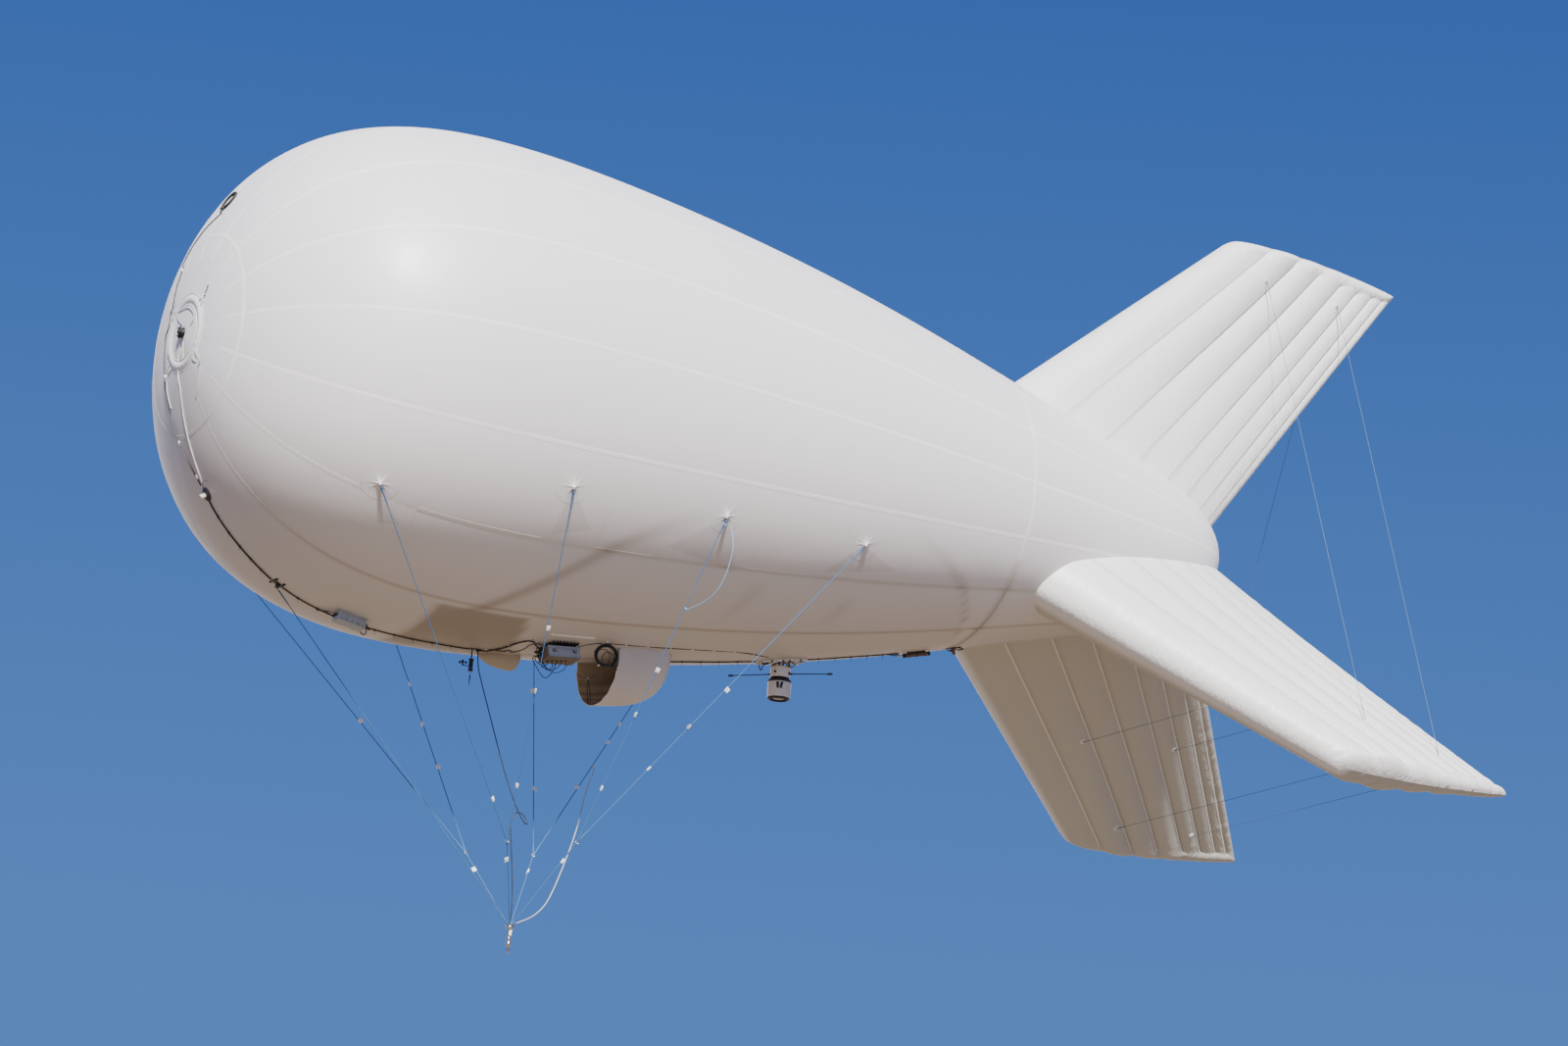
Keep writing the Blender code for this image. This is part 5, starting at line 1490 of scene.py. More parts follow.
def wind_sensor():
    """The arm under the belly with its sensor tubes, downward probe and bracket."""
    place = hull_frame(WIND_SENSOR_X, 0.0)
    top = place.translation
    kit = Kit()
    black = "plastic"
    kit.pad(place, 0.006, (0.13, 0.10, 0.010), black, 0.003)
    for x, y in ((-0.045, -0.03), (0.045, -0.03), (-0.045, 0.03), (0.045, 0.03)):
        kit.rod(place @ Vector((x, y, 0.010)), place @ Vector((x, y, 0.018)), 0.007, "steel", sides=6)
    kit.rod(top, top - up(0.30), 0.011, black)
    kit.box(top - up(0.185), (0.075, 0.055, 0.030), black, 0.006)
    kit.box(top - up(0.365), (0.075, 0.055, 0.026), black, 0.006)
    for x in (-0.020, 0.020):
        kit.rod(top + Vector((x, 0, -0.180)), top + Vector((x, 0, -0.375)), 0.0165, black, None, 20)
        for i in range(7):
            kit.ring(top + Vector((x, 0, -0.205 - 0.022 * i)), 0.0165, 0.0022, "rubber", sides=24, around=6)
    kit.rod(top - up(0.37), top - up(0.45), 0.011, "steel", 0.010)
    kit.rod(top - up(0.45), top - up(0.62), 0.013, black, 0.003)
    kit.rod(top - up(0.30), top + Vector((-0.16, 0, -0.30)), 0.0075, black)
    kit.rod(top + Vector((-ROTOR_OFFSET, 0, -0.305)), top + Vector((-ROTOR_OFFSET, 0, -0.236)), 0.0058,
            "steel")
    kit.ball(top + Vector((-ROTOR_OFFSET, 0, -0.300)), 0.016, black)
    kit.done("wind_sensor_body", "black_plastic", "wind_sensor_arm")


def bowl(radius, steps):
    """A cup's wall as (radius, height) points, in steps of a sixteenth of a half turn."""
    return [(radius * math.sin(t * math.pi / 16), -radius * math.cos(t * math.pi / 16)) for t in steps]


def cup_rotor():
    """Three hollow cups on arms, turning on a hub."""
    top = hull_frame(WIND_SENSOR_X, 0.0).translation
    axis = Vector((top.x - ROTOR_OFFSET, 0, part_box("cup_rotor")[0].z))
    kit = Kit(Matrix.Translation(axis))
    black = "plastic"
    kit.turned(((0.0, 0.068), (0.012, 0.067), (0.017, 0.060), (0.018, 0.004), (0.016, 0.0), (0.0, 0.0)),
               black, None, 28)
    root = up(0.032)
    for out in spokes(3):
        kit.rod(root + out * 0.012, root + out * 0.046, 0.0032, black)
        place = Matrix.Translation(root + out * 0.056) @ facing(Vector((-out.y, out.x, 0)))
        kit.turned((*bowl(0.0225, range(9)), *bowl(0.0205, range(8, -1, -1))), black, place, 24)
    kit.done("wind_cups", "black_plastic", "cup_rotor", body="cup_rotor")


def camera_unit():
    """Rails with their clamps, the fixed upper housing and the two aerial rods."""
    place = hull_frame(CAMERA_X, 0.0)
    ring_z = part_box("camera_frame")[0].z + 0.014
    white, black, steel = "white", "plastic", "steel"
    kit = Kit(place)
    kit.box((0, 0, 0.006), (0.46, 0.36, 0.010), "webbing", 0.003)
    for side in (-1, 1):
        y = side * 0.13
        kit.box((0, y, 0.010), (0.86, 0.038, 0.006), white, 0.002)
        kit.box((0, y - 0.016, 0.026), (0.86, 0.005, 0.032), white, 0.002)
        kit.box((0, y + 0.016, 0.026), (0.86, 0.005, 0.032), white, 0.002)
        for x in (-0.41, -0.27, -0.16, -0.05, 0.08, 0.19, 0.30, 0.41):
            finish = black if x in (-0.27, -0.05, 0.08, 0.30) else white
            kit.box((x, y, 0.028), (0.034, 0.050, 0.030), finish, 0.006)
            kit.rod((x, y, 0.040), (x, y, 0.058), 0.009, steel, sides=6)
    for x, length in ((-0.20, 0.34), (0.0, 0.34), (0.20, 0.34)):
        kit.box((x, 0, 0.044), (0.036, length, 0.022), white, 0.005)
    kit.box((0.31, -0.07, 0.05), (0.10, 0.08, 0.06), white, 0.01)
    kit.box((0.37, 0.06, 0.045), (0.07, 0.06, 0.05), "grey", 0.008)
    kit.box((-0.33, 0.02, 0.045), (0.08, 0.09, 0.045), black, 0.008)
    kit.done("camera_rails", "white_paint", "camera_frame")
    kit = Kit()
    for x in (-0.10, 0.10):
        for y in (-0.10, 0.10):
            top = place @ Vector((x, y, 0.03))
            kit.rod(top, (top.x, top.y, ring_z - 0.006), 0.013, black, None, 14)
            for lift in (0.025, 0.045):
                kit.ring((top.x, top.y, ring_z + lift), 0.016, 0.0045, "rubber", sides=20, around=8)
    kit.turned(((0, 0), (0.16, 0.0), (0.175, -0.003), (0.175, -0.012), (0.0, -0.013)), black,
               Matrix.Translation((CAMERA_X, 0, ring_z)), 64)
    kit.ring((CAMERA_X, 0, ring_z - 0.007), 0.171, 0.0062, "yellow", sides=72)
    for i in range(8):
        angle = 2 * math.pi * (i + 0.5) / 8
        spot = Vector((CAMERA_X + 0.160 * math.cos(angle), 0.160 * math.sin(angle), ring_z))
        kit.rod(spot - up(0.006), spot + up(0.020), 0.008, black, sides=6)
    for x, y, z in ((-0.30, -0.16, 0.045), (0.24, -0.18, 0.02)):
        spot = place @ Vector((x, y, 0.0))
        hook = ((0.04, -z), (0.02, -z - 0.06), (0.0, -z - 0.085), (-0.02, -z - 0.06), (-0.04, -z))
        hook = [spot + Vector((along, 0, drop)) for along, drop in hook]
        kit.lead(hook, 30, 0.009, "cable")
    for i, (x, y) in enumerate(((-0.07, -0.12), (0.03, -0.14), (0.10, 0.11), (-0.05, 0.12))):
        spot = place @ Vector((x, y, 0.05))
        bow = [spot, spot + Vector((0.05, -0.03, -0.02)), spot + Vector((0.09, -0.02, -0.05)),
               Vector((CAMERA_X + x * 1.1, y, ring_z + 0.01))]
        kit.lead(bow, 30, 0.008, "cable")
    kit.done("camera_posts", "black_plastic")

    top_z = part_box("camera_base")[1].z
    kit = Kit(Matrix.Translation((CAMERA_X, 0, top_z)))
    kit.turned(
        (
            (0.0, 0.0), (0.155, 0.0), (0.168, -0.006), (0.170, -0.014), (0.170, -0.060), (0.167, -0.064),
            (0.167, -0.070), (0.170, -0.074), (0.170, -0.166), (0.166, -0.176), (0.155, -0.180),
        ),
        white,
        None,
        72,
    )
    kit.turned(
        (
            (0.155, -0.180), (0.163, -0.183), (0.163, -0.192), (0.130, -0.194), (0.126, -0.198),
            (0.126, -0.204), (0.060, -0.205), (0.060, -0.236), (0.0, -0.238),
        ),
        black,
        None,
        72,
    )
    for angle in (-60, 30, 120, 210):
        turn = math.radians(angle)
        out = spoke(turn)
        kit.rod(out * 0.166 + up(-0.10), out * 0.186 + up(-0.10), 0.022, black, 0.018, 24)
        kit.rod(out * 0.168 + up(-0.036), out * 0.174 + up(-0.036), 0.008, steel, sides=6)
        kit.rod(out * 0.168 + up(-0.150), out * 0.174 + up(-0.150), 0.008, steel, sides=6)
    kit.done("camera_upper_housing", "white_paint", "camera_base")

    along = Vector((0.628, -0.778, 0.0))
    rod_z = ring_z - 0.014 - 0.10
    for name, side in (("aerial_rod_fore", -1), ("aerial_rod_aft", 1)):
        start = Vector((CAMERA_X, 0, rod_z)) + along * side * 0.168
        end = Vector((CAMERA_X, 0, rod_z - 0.012)) + along * side * 0.92
        kit = Kit()
        kit.rod(start, start + along * side * 0.05, 0.020, black, 0.015, 24)
        kit.rod(start, end, 0.0095, black, 0.0075, 16)
        kit.rod(end - along * side * 0.075, end - along * side * 0.055, 0.0095, black, 0.019, 20)
        kit.rod(end - along * side * 0.055, end + along * side * 0.018, 0.019, black, 0.017, 20)
        kit.done(f"{name}_bar", "black_plastic", name)


def camera_head():
    """The turning housing: shell, collar, two window slots on each side and the lens in its ring."""
    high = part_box("camera_head")[1]
    white, black = "white", "plastic"
    kit = Kit(Matrix.Translation((CAMERA_X, 0, high.z)))
    kit.turned(((0.066, -0.002), (0.165, 0.0), (0.180, -0.004), (0.197, -0.012), (0.199, -0.044),
                (0.1975, -0.052)),
               black, None, 72)
    kit.turned(
        (
            (0.1975, -0.052), (0.1995, -0.056), (0.1990, -0.110), (0.1965, -0.112), (0.1965, -0.116),
            (0.1985, -0.118), (0.1945, -0.292), (0.1900, -0.312),
        ),
        white,
        None,
        72,
    )
    kit.turned(((0.1900, -0.312), (0.188, -0.322), (0.182, -0.334), (0.160, -0.344), (0.150, -0.344)),
               black, None, 72)
    kit.turned(((0.150, -0.344), (0.138, -0.344), (0.132, -0.334), (0.128, -0.318)), "rubber", None, 72)
    kit.turned(((0.128, -0.318), (0.110, -0.325), (0.060, -0.333), (0.0, -0.336)), "lens", None, 72)
    for heading in (-119.0, 61.0):
        for offset, lean in ((-8.5, 0.10), (9.5, -0.16)):
            turn = math.radians(heading + offset)
            out = spoke(turn)
            frame = Matrix.Translation(out * 0.1965 + up(-0.125))
            frame = frame @ Matrix.Rotation(turn, 4, "Z") @ Matrix.Rotation(lean, 4, "X")
            kit.box(frame.translation, (0.012, 0.044, 0.112), black, 0.005, turn_of(frame))
            kit.box(frame.translation + out * 0.004, (0.010, 0.028, 0.096), "lens", 0.004,
                    turn_of(frame))
    for out in spokes(12):
        kit.rod(out * 0.196 + up(-0.074), out * 0.2015 + up(-0.074), 0.006,
                "steel", sides=6)
    kit.done("camera_housing", "white_paint", "camera_head", body="camera_head")


def aft_cylinder():
    """The dark roll behind the camera: a strapped cylinder with capped ends and leads."""
    aft = hull_frame(6.50, 0.0)
    kit = Kit(aft)
    kit.box((0, 0, 0.012), (0.34, 0.06, 0.022), "plastic", 0.004)
    profile = [(0.0, -0.27), (0.030, -0.27), (0.037, -0.262), (0.0385, -0.225), (0.036, -0.222)]
    for i in range(24):
        along = -0.215 + 0.43 * i / 23
        profile.append((0.0352 + 0.0012 * (i % 2), along))
    profile += [(0.036, 0.222), (0.0385, 0.225), (0.037, 0.262), (0.030, 0.27), (0.0, 0.27)]
    turn = Matrix.Translation((0, 0, 0.055)) @ Matrix.Rotation(math.pi / 2, 4, "Y")
    kit.turned(profile[4:-4], "bronze", turn, 40)
    kit.turned(profile[:5], "rubber", turn, 40)
    kit.turned(profile[-5:], "rubber", turn, 40)
    for x in (-0.16, 0.0, 0.16):
        kit.ring((x, 0, 0.055), 0.0375, 0.0045, "rubber", (1, 0, 0), 40, 8)
    kit.done("aft_roll", "black_plastic", "aft_cylinder")
    kit = Kit(aft)
    for y, lift in ((-0.02, 0.05), (0.012, 0.062)):
        lead = [(-0.262, y, lift), (-0.32, y * 2, lift), (-0.40, y * 3, 0.03), (-0.52, y * 2, 0.012),
                (-0.60, 0, 0.01)]
        kit.lead(lead, 40, 0.008, "cable")
        kit.rod((-0.31, y * 2, lift), (-0.36, y * 2.4, lift - 0.008), 0.015, "cable_white", None, 14)
    kit.done("aft_roll_leads", "black_cable")


def tail_fitting():
    """The steel fitting under the tail: base plate, swivelling lug and a bow shackle with its pin."""
    tail = hull_frame(7.23, 0.0)
    kit = Kit(tail)
    kit.box((0, 0, 0.006), (0.22, 0.16, 0.012), "plastic", 0.004)
    for x in (-0.085, 0.085):
        for y in (-0.055, 0.055):
            kit.rod((x, y, 0.010), (x, y, 0.026), 0.011, "steel", sides=6)
    kit.turned(((0.0, 0.12), (0.028, 0.119), (0.030, 0.100), (0.026, 0.080), (0.026, 0.050), (0.045, 0.018),
                (0.046, 0.008)),
               "bronze", None, 40)
    kit.rod((0, -0.045, 0.085), (0, 0.045, 0.085), 0.010, "steel")
    bow = [(0, -0.036, 0.085), (0, -0.040, 0.060), (-0.06, -0.036, 0.044), (-0.10, 0, 0.040),
           (-0.06, 0.036, 0.044),
           (0, 0.040, 0.060), (0, 0.036, 0.085)]
    kit.lead(bow, 40, 0.009, "bronze", 10)
    for side in (-1, 1):
        wing = [(0.06, side * 0.05, 0.015), (0.13, side * 0.075, 0.030), (0.17, side * 0.05, 0.05),
                (0.12, side * 0.02, 0.045)]
        kit.lead(wing, 24, 0.010, "plastic")
    kit.done("tail_shackle", "black_plastic", "tail_fitting")


def mooring_fitting():
    """The black fitting under the nose: strapped plate, lug and eye."""
    mooring = hull_frame(MOORING_X, 0.0)
    eye = mooring_eye()
    pull = (CONFLUENCE - eye).normalized()
    kit = Kit(mooring)
    kit.box((0, 0, 0.006), (0.20, 0.12, 0.010), "plastic", 0.003)
    kit.box((0.02, -0.016, 0.040), (0.055, 0.009, 0.068), "plastic", 0.003)
    kit.box((0.02, 0.016, 0.040), (0.055, 0.009, 0.068), "plastic", 0.003)
    kit.rod((0.02, -0.030, 0.060), (0.02, 0.030, 0.060), 0.009, "steel")
    for x in (-0.075, 0.075):
        for y in (-0.04, 0.04):
            kit.rod((x, y, 0.009), (x, y, 0.020), 0.009, "steel", sides=6)
        kit.strap([(x, y, 0.002 - y * y * 0.14) for y in (-0.16, -0.08, 0, 0.08, 0.16)], [(0, 0, 1)] * 5,
                  0.04, 0.005,
                  "rubber")
    kit.done("mooring_plate", "black_plastic", "mooring_fitting")
    kit = Kit()
    kit.ring(eye + pull * 0.012, 0.022, 0.007, "steel", pull.cross(up(1)), 32, 8)
    kit.ring(eye + pull * 0.045, 0.020, 0.006, "steel", up(1).cross(pull).cross(pull), 32, 8)
    kit.done("mooring_shackle", "steel")


def mooring_eye():
    return hull_frame(MOORING_X, 0.0) @ Vector((0.02, 0, 0.065))


# Rigging


def load_fans(look):
    """Fine sheets that carry the painted shade of the fans of doubled cloth below the lugs, where the hull's
    own mesh is too coarse.
    """
    rows, columns = 46, 58
    for side_name, side in (("port", 1), ("starboard", -1)):
        for (number, top_x, top_phi), ((left_x, left_phi), (right_x, right_phi)) in zip(PATCHES, FANS):
            first, last = min(left_x, top_x) - 0.16, max(right_x, top_x) + 0.16
            low = min(left_phi, right_phi) - 2.0
            points, shades = [], []
            for row in range(rows + 1):
                for column in range(columns):
                    x = first + (last - first) * column / (columns - 1)
                    phi = side * (low + (top_phi + 1.0 - low) * row / rows)
                    points.append(on_skin(x, phi, 0.0016))
                    shades.append(hull_shade(x, phi))
            obj = mesh_object(f"load_fan_{side_name}_{number}", points, grid_faces(rows + 1, columns), look)
            if side < 0:
                obj.data.flip_normals()
            put_attribute(obj, "shade", shades)
            wear(obj, "envelope_fabric")


def suspension_patch(side_name, side, number, x, phi, target, look):
    """A patch of hull fabric pulled out to a point by its lug, with folds that fan out from it."""
    rows, columns = 26, 96
    points, shades = [], []
    middle = hull_radius(x - NOSE_X)
    for row in range(rows + 1):
        radius = max(PATCH_REACH * (row / rows) ** 1.5, 0.0015)
        for column in range(columns):
            angle = 2 * math.pi * column / columns
            px = x + radius * math.cos(angle)
            pphi = -side * phi + math.degrees(radius * math.sin(angle) / middle)
            tent = 0.050 * math.exp(-radius / 0.030) + 0.010 * math.exp(-((radius / 0.11) ** 2))
            folds = math.sin(angle * 8 + 1.4 * math.sin(3 * angle + x)) * 0.006
            folds *= math.exp(-radius / 0.085) * smooth_step(radius, 0.010, 0.045)
            points.append(on_skin(px, pphi, 0.0030 + tent + folds))
            # Painted shade in the creases that radiate from the lug
            crease = math.exp(-(((angle + side * 1.9) % (2 * math.pi) - math.pi) % 0.9 / 0.10) ** 2)
            crease *= smooth_step(0.20 - radius, 0.0, 0.06) * smooth_step(radius, 0.03, 0.05)
            shades.append(hull_shade(px, pphi) + 0.25 * crease * (math.sin(angle) * side < 0.2))
    obj = mesh_object(f"patch_{side_name}_{number}_cloth", points, grid_faces(rows + 1, columns, True), look)
    put_attribute(obj, "shade", shades)
    wear(obj, "envelope_fabric", f"patch_{side_name}_{number}")
    frame = hull_frame(x, -side * phi)
    root = frame @ up(LUG_LIFT)
    pull = (target - root).normalized()
    kit = Kit()
    kit.tube([root - frame.col[2].xyz * 0.012, root + pull * 0.018, root + pull * 0.034], 0.024, "tag", 14,
             swell=lambda share: 1.0 - 0.45 * share)
    kit.ring(root + pull * 0.045, 0.021, 0.0065, "steel", frame.col[0].xyz, 32, 8)
    pin, half = root + pull * 0.052, frame.col[0].xyz * 0.026
    kit.rod(pin - half, pin + half, 0.007, "plastic")
    kit.ring(root + pull * 0.082, 0.022, 0.0085, "rope_blue", frame.col[0].xyz, 32, 8)
    kit.done(f"patch_{side_name}_{number}_lug", "white_webbing")
    return root + pull * LUG_REACH


def tag(kit, point, along, seed):
    """A folded cloth flag round a line."""
    turn = along.to_track_quat("X", "Z").to_matrix().to_4x4() @ Matrix.Rotation(seed * 2.4, 4, "X")
    offset = turn @ up(0.030)
    kit.box(point, (0.085, 0.024, 0.024), "tag", 0.006, turn)
    kit.box(point + offset, (0.080, 0.004, 0.060), "tag", 0.0015, turn)


def spliced(share):
    """A rope's thickness along its length: doubled in the eye splice at each end."""
    end = min(share, 1 - share)
    return 1.0 + 0.75 * smooth_step(0.045 - end, 0.0, 0.02)


# Where the cloth flags are, as a share of each line's length from its lug
TAGS = {
    ("port", "one"): (0.88,),
    ("port", "two"): (0.385, 0.565, 0.84),
    ("port", "three"): (0.46, 0.60, 0.83),
    ("port", "four"): (0.48, 0.61, 0.75),
    ("starboard", "one"): (0.56,),
    ("starboard", "two"): (0.405, 0.545, 0.70),
    ("starboard", "three"): (0.38, 0.75),
    ("starboard", "four"): (0.48, 0.555, 0.735),
}


def stays(look):
    for side_name, side in (("port", -1), ("starboard", 1)):
        for corner, junction, patches in (("fore", JUNCTION_FORE, PATCHES[:2]),
                                          ("aft", JUNCTION_AFT, PATCHES[2:])):
            knot = Vector((junction.x, side * junction.y, junction.z))
            kit = Kit()
            for number, x, phi in patches:
                start = suspension_patch(side_name, side, number, x, phi, knot, look)
                count = 60
                line = [start.lerp(knot, i / count) for i in range(count + 1)]
                kit.tube(line, STAY_RADIUS, "rope_blue", swell=spliced)
                run = (knot - start).normalized()
                for i, share in enumerate(TAGS[side_name, number]):
                    tag(kit, start.lerp(knot, share), run, i + x)
            pull = (CONFLUENCE - knot).normalized()
            foot = CONFLUENCE - pull * 0.055
            leg = [knot.lerp(foot, i / 40) for i in range(41)]
            kit.tube(leg, STAY_RADIUS * 1.15, "rope_blue", swell=spliced)
            kit.ring(knot, 0.024, 0.008, "steel", (0, 1, 0), 36, 8)
            kit.ball(knot + pull * 0.036, 0.017, "rope_blue", 14, 1.3)
            tag(kit, knot.lerp(foot, 0.22), pull, side)
            kit.done(f"stays_{side_name}_{corner}_ropes", "blue_rope", f"stays_{side_name}_{corner}")
    eye = mooring_eye()
    pull = (CONFLUENCE - eye).normalized()
    kit = Kit()
    start, end = eye + pull * 0.060, CONFLUENCE - pull * 0.055
    kit.tube([start.lerp(end, i / 60) for i in range(61)], STAY_RADIUS, "rope_blue", swell=spliced)
    kit.done("nose_line_rope", "blue_rope", "nose_line")


def confluence():
    """The plate that gathers the lines on shackles, above the swivel."""
    steel = "steel"
    kit = Kit(Matrix.Translation(CONFLUENCE))
    kit.turned(((0, 0.052), (0.014, 0.050), (0.050, 0.030), (0.062, 0.012), (0.062, -0.012), (0.050, -0.030),
                (0.034, -0.040), (0.030, -0.060), (0.030, -0.150), (0.026, -0.158), (0.017, -0.160),
                (0.017, -0.213),
                (0.0, -0.214)), steel, None, 48)
    for out in spokes(5, 0.25):
        kit.ring(out * 0.052 + up(0.026), 0.019, 0.0062, "bronze", (-out.y, out.x, 0.2), 28, 8)
        kit.rod(out * 0.036 + up(-0.048), out * 0.042 + up(-0.058), 0.006, steel, sides=6)
    for height in (-0.075, -0.100, -0.125):
        kit.ring((0, 0, height), 0.0305, 0.0045, "rubber", sides=36, around=8)
    kit.box((0.0, -0.034, -0.10), (0.050, 0.006, 0.075), "tag", 0.002)
    kit.done("gather_plate", "steel", "confluence_fitting")


def swivel():
    """The swivel's turning half: cage, bearing cap, grease nipples and the tether's socket."""
    kit = Kit(Matrix.Translation((CONFLUENCE.x, CONFLUENCE.y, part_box("tether_swivel")[1].z)))
    kit.turned(((0.0195, -0.001), (0.036, 0.0), (0.043, -0.006), (0.045, -0.014), (0.045, -0.040),
                (0.041, -0.046),
                (0.041, -0.086), (0.045, -0.092), (0.045, -0.124), (0.040, -0.136), (0.027, -0.158),
                (0.025, -0.166), (0.0225, -0.172), (0.022, -0.252), (0.019, -0.2595), (0.0, -0.26)),
               "steel", None, 48)
    for out in spokes(6):
        kit.rod(out * 0.030 + up(-0.002), out * 0.030 + up(0.006), 0.005, "plastic", sides=6)
    for height in (-0.185, -0.205, -0.225):
        kit.ring((0, 0, height), 0.0225, 0.0038, "rubber", sides=32, around=8)
    kit.done("swivel_body", "steel", "tether_swivel", body="tether_swivel")


def lug_end(number, side):
    """Where a line leaves its patch's lug, and the knot that it runs to."""
    _, x, phi = PATCHES[number]
    junction = JUNCTION_FORE if number < 2 else JUNCTION_AFT
    knot = Vector((junction.x, side * junction.y, junction.z))
    root = hull_frame(x, -side * phi) @ up(LUG_LIFT)
    return root + (knot - root).normalized() * LUG_REACH, knot


def slack_cord(name, number, side, share, at, middle, ending, radius, count, finish, slot, node, far_end):
    """A limp rope that leaves a taut line at a share of its length and hangs free, with its knot."""
    start, knot = lug_end(number, side)
    run = (knot - start).normalized()
    below = (run.cross(up(1)).cross(run)).normalized() * -1
    top = start.lerp(knot, share) if share else start + run * at
    leaving = [top + below * (STAY_RADIUS + 2 * GAP + step) for step in ROPE_STEPS]
    if not ending:
        foot = start.lerp(knot, LOOP_SHARE)
        ending = [foot + below * (STAY_RADIUS + 2 * GAP + step) for step in reversed(ROPE_STEPS)]
    points = smooth_route([*leaving, *middle, *ending], count)
    kit = Kit()
    kit.tube(points, radius, finish, 10)
    obj = kit.done(name, slot, node)
    ties = [(top, run)] if far_end == "object" else [(top, run), (start.lerp(knot, LOOP_SHARE), run)]
    kit = Kit()
    for spot, along in ties:
        for step in (-0.010, 0.004):
            kit.ring(spot + along * step + below * 0.004, STAY_RADIUS + 0.005, 0.0042, finish, along, 24, 8)
        kit.ball(spot + below * (STAY_RADIUS + 0.012), 0.014, finish, 14, 1.2)
    kit.done(f"{name}_knots", slot)


def slack_ropes():
    """The white slack rope from a starboard line to the confluence and the blue loop beside a port line."""
    pull = Vector((0.78, 0.0, 0.62)).normalized()
    middle = [(1.262, 1.452, -5.47), (1.215, 1.425, -5.57), (1.155, 1.385, -5.70), (1.020, 1.250, -6.00)]
    middle += [(0.721, 0.881, -6.684), (0.343, 0.558, -7.457), (0.001, 0.294, -8.043), (-0.30, 0.140, -8.345)]
    middle += [(-0.599, 0.044, -8.515)]
    ending = [CONFLUENCE + pull * (CONFLUENCE_RADIUS + step) for step in (0.04, GAP)]
    slack_cord("white_slack_rope", 3, 1, SLACK_ROPE_SHARE, 0.0, middle, ending, SLACK_ROPE_RADIUS, 90,
               "rope_white", "white_webbing", "slack_rope", "object")
    middle = [(0.832, -3.385, -2.17), (0.845, -3.425, -2.26), (0.862, -3.476, -2.464),
              (0.863, -3.477, -2.677)]
    middle += [(0.832, -3.389, -2.995), (0.778, -3.236, -3.256), (0.700, -3.012, -3.410),
               (0.640, -2.840, -3.465)]
    slack_cord("blue_slack_loop", 2, -1, 0.0, 0.04, middle, None, LOOP_RADIUS, 80,
               "rope_pale", "blue_rope", "slack_loop", "knot")


def fin_surface(spot, face, phi):
    """A point and outward normal on a fin's face at a (chord share, span share) spot."""
    share, span = spot
    here = fin_point(share, span, face, phi)
    along = fin_point(share, span + 0.01, face, phi) - here
    across = fin_point(share + 0.004, span, face, phi) - here
    normal = along.cross(across).normalized()
    _, side = fin_axes(phi)
    return here, normal if normal.dot(side * face) > 0 else -normal


def guys():
    """Guy lines between the fins, each end on a patch with a loop."""
    runs = []
    for side, face in (("port", 1), ("starboard", -1)):
        for number, (high, low) in enumerate(zip(GUY_HIGH, GUY_HIGH_LOWER_END), 1):
            runs.append((f"guy_{side}_high_{number}", ("top", high, face), (side, low, -face)))
    for number, spot in enumerate(GUY_LOW, 1):
        runs.append((f"guy_low_{number}", ("port", spot, 1), ("starboard", spot, -1)))
    for name, first, second in runs:
        kit = Kit()
        ends = []
        for fin_key, spot, face in (first, second):
            point, normal = fin_surface(spot, face, FIN_PHI[fin_key])
            turn = Matrix.Translation(point) @ facing(normal)
            kit.turned(((0.0, 0.012), (0.012, 0.011), (0.022, 0.006), (0.048, 0.003), (0.052, 0.0),
                        (0.050, -0.006)),
                       "webbing", turn, 32)
            kit.ring(point + normal * 0.020, 0.012, 0.004, "steel", turn.col[0].xyz, 24, 8)
            ends.append(point + normal * 0.028)
        line = [ends[0].lerp(ends[1], i / 40) for i in range(41)]
        kit.tube(line, GUY_ROPE_RADIUS, "rope_guy", 6, swell=spliced)
        kit.done(f"{name}_rope", "guy_line", name)


# Stage


def sun(name, energy, width, colour, toward):
    data = bpy.data.lights.new(name, "SUN")
    data.energy = energy
    data.angle = math.radians(width)
    data.color = colour
    obj = link(bpy.data.objects.new(name, data))
    obj.rotation_euler = Vector(toward).to_track_quat("Z", "Y").to_euler()


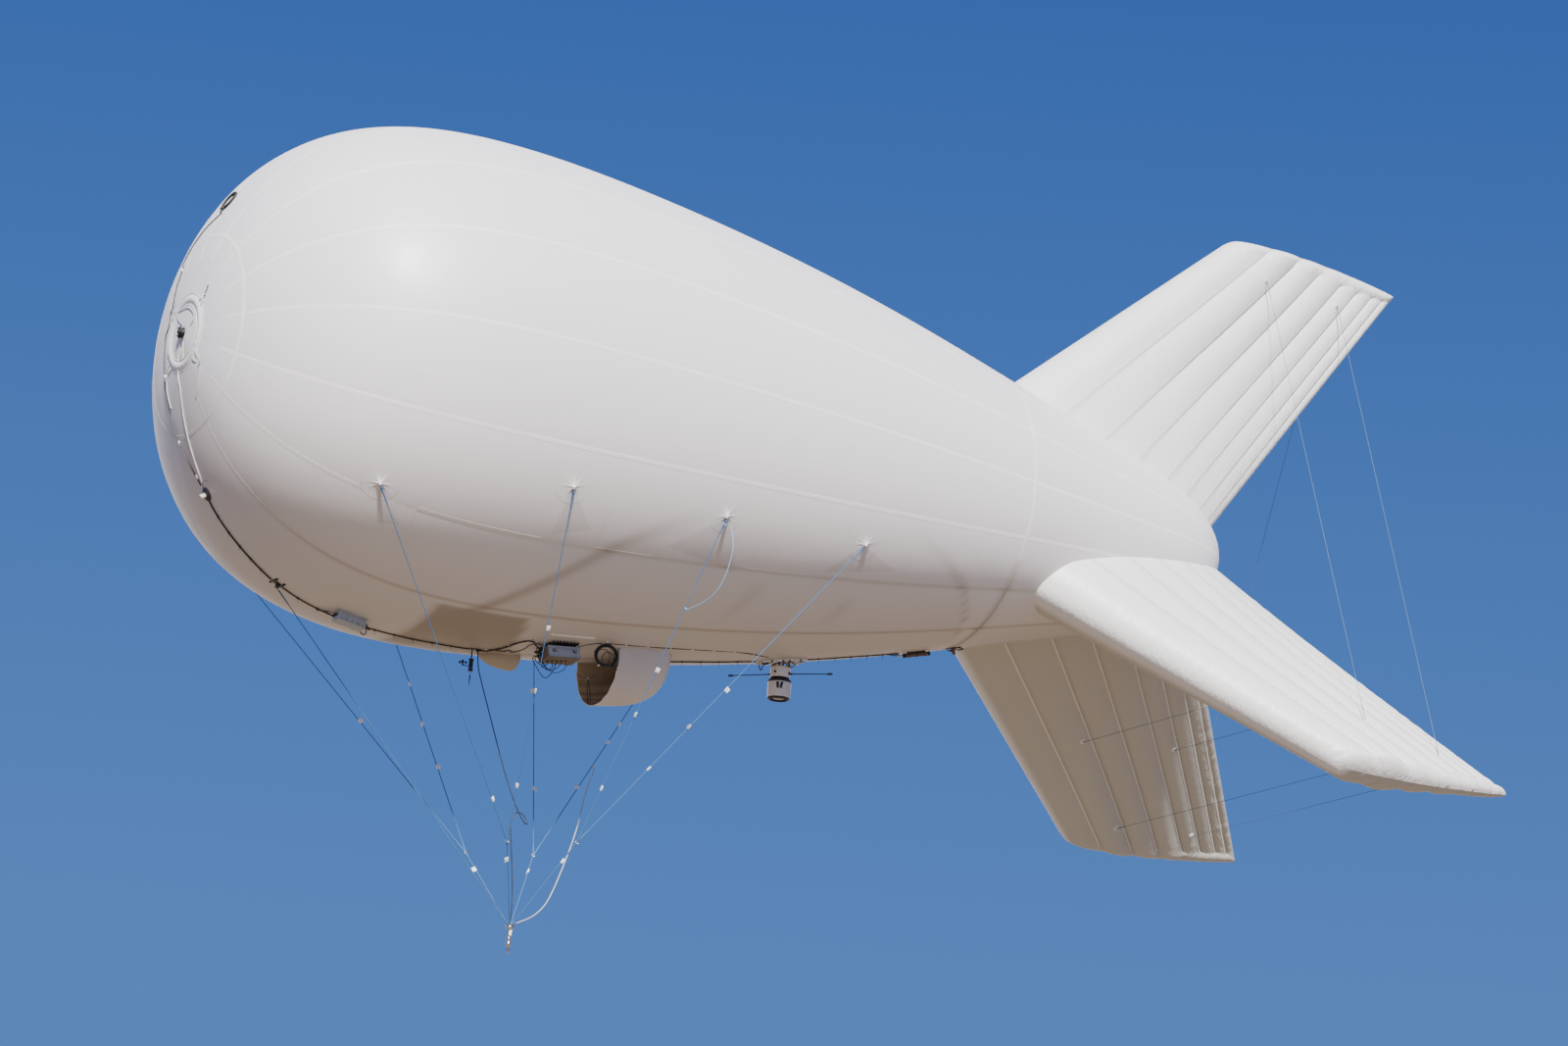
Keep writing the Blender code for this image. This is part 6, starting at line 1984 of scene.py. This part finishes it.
def stage():
    """The floor, the light and the sky-coloured backdrop."""
    floor_z = CAMERA_PLACE.z - CAMERA_HEIGHT
    half = FLOOR_HALF
    corners = [(-half, -half, floor_z), (half, -half, floor_z), (half, half, floor_z), (-half, half, floor_z)]
    look = Look("floor", FLOOR_COLOUR, 0.9)
    look.bump(look.noise(0.6, 4.0), 0.1, 0.02)
    floor = mesh_object("floor", corners, [(0, 1, 2, 3)], look.material)
    sun("key", *KEY_SUN)
    sun("fill", *FILL_SUN)
    world = bpy.data.worlds.new("sky")
    world.use_nodes = True
    tree = world.node_tree
    height = tree.nodes.new("ShaderNodeSeparateXYZ")
    tree.links.new(tree.nodes.new("ShaderNodeTexCoord").outputs["Generated"], height.inputs[0])
    rise = tree.nodes.new("ShaderNodeMapRange")
    tree.links.new(height.outputs["Z"], rise.inputs["Value"])
    rise.inputs["From Min"].default_value, rise.inputs["From Max"].default_value = SKY_HEIGHTS
    blue = tree.nodes.new("ShaderNodeMix")
    blue.data_type = "RGBA"
    tree.links.new(rise.outputs["Result"], blue.inputs[0])
    blue.inputs[6].default_value, blue.inputs[7].default_value = (*SKY_LOW, 1.0), (*SKY_HIGH, 1.0)
    tree.links.new(blue.outputs[2], tree.nodes["Background"].inputs["Color"])
    bpy.context.scene.world = world


def camera():
    data = bpy.data.cameras.new("camera")
    data.lens = CAMERA_LENS
    data.sensor_width = SENSOR_WIDTH
    data.clip_end = FAR_CLIP
    obj = link(bpy.data.objects.new("camera", data))
    back = (CAMERA_PLACE - CAMERA_AIM).normalized()
    right = CAMERA_UP.cross(back).normalized()
    turn = Matrix((right, back.cross(right), back)).transposed().to_4x4()
    obj.matrix_world = Matrix.Translation(CAMERA_PLACE) @ turn
    bpy.context.scene.camera = obj


def corners(bounds):
    return [list(corner) for corner in bounds]


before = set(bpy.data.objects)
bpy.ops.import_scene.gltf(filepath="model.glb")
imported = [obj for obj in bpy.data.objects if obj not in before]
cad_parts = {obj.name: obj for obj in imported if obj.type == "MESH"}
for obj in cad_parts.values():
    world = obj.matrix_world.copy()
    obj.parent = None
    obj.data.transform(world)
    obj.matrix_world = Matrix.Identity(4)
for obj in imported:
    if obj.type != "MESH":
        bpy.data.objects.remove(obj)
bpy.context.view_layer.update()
camera()
make_finishes()
power_cable()
coil_cord()
slack_ropes()
stage()
hull()
seam_tapes()
for fin_name, fin_phi in FIN_PHI.items():
    fin(f"fin_{fin_name}", fin_phi)
    fin_tapes(f"fin_{fin_name}", fin_phi)
skin = envelope_look("patch_fabric")
nose_ring(skin)
nose_handles()
nose_valve()
nose_hoop()
nose_wiring()
lamp()
keel_cables()
forward_box()
main_box()
harness()
clamp_body()
wind_sensor()
cup_rotor()
hood_fabric, hood_lining = hood_look(), lining_look()
hood("air_scoop", SCOOP, hood_fabric, hood_lining)
hood("vent_hood", VENT, hood_fabric, hood_lining)
scoop_details()
camera_unit()
camera_head()
aft_cylinder()
tail_fitting()
mooring_fitting()
load_fans(skin)
stays(skin)
confluence()
swivel()
guys()
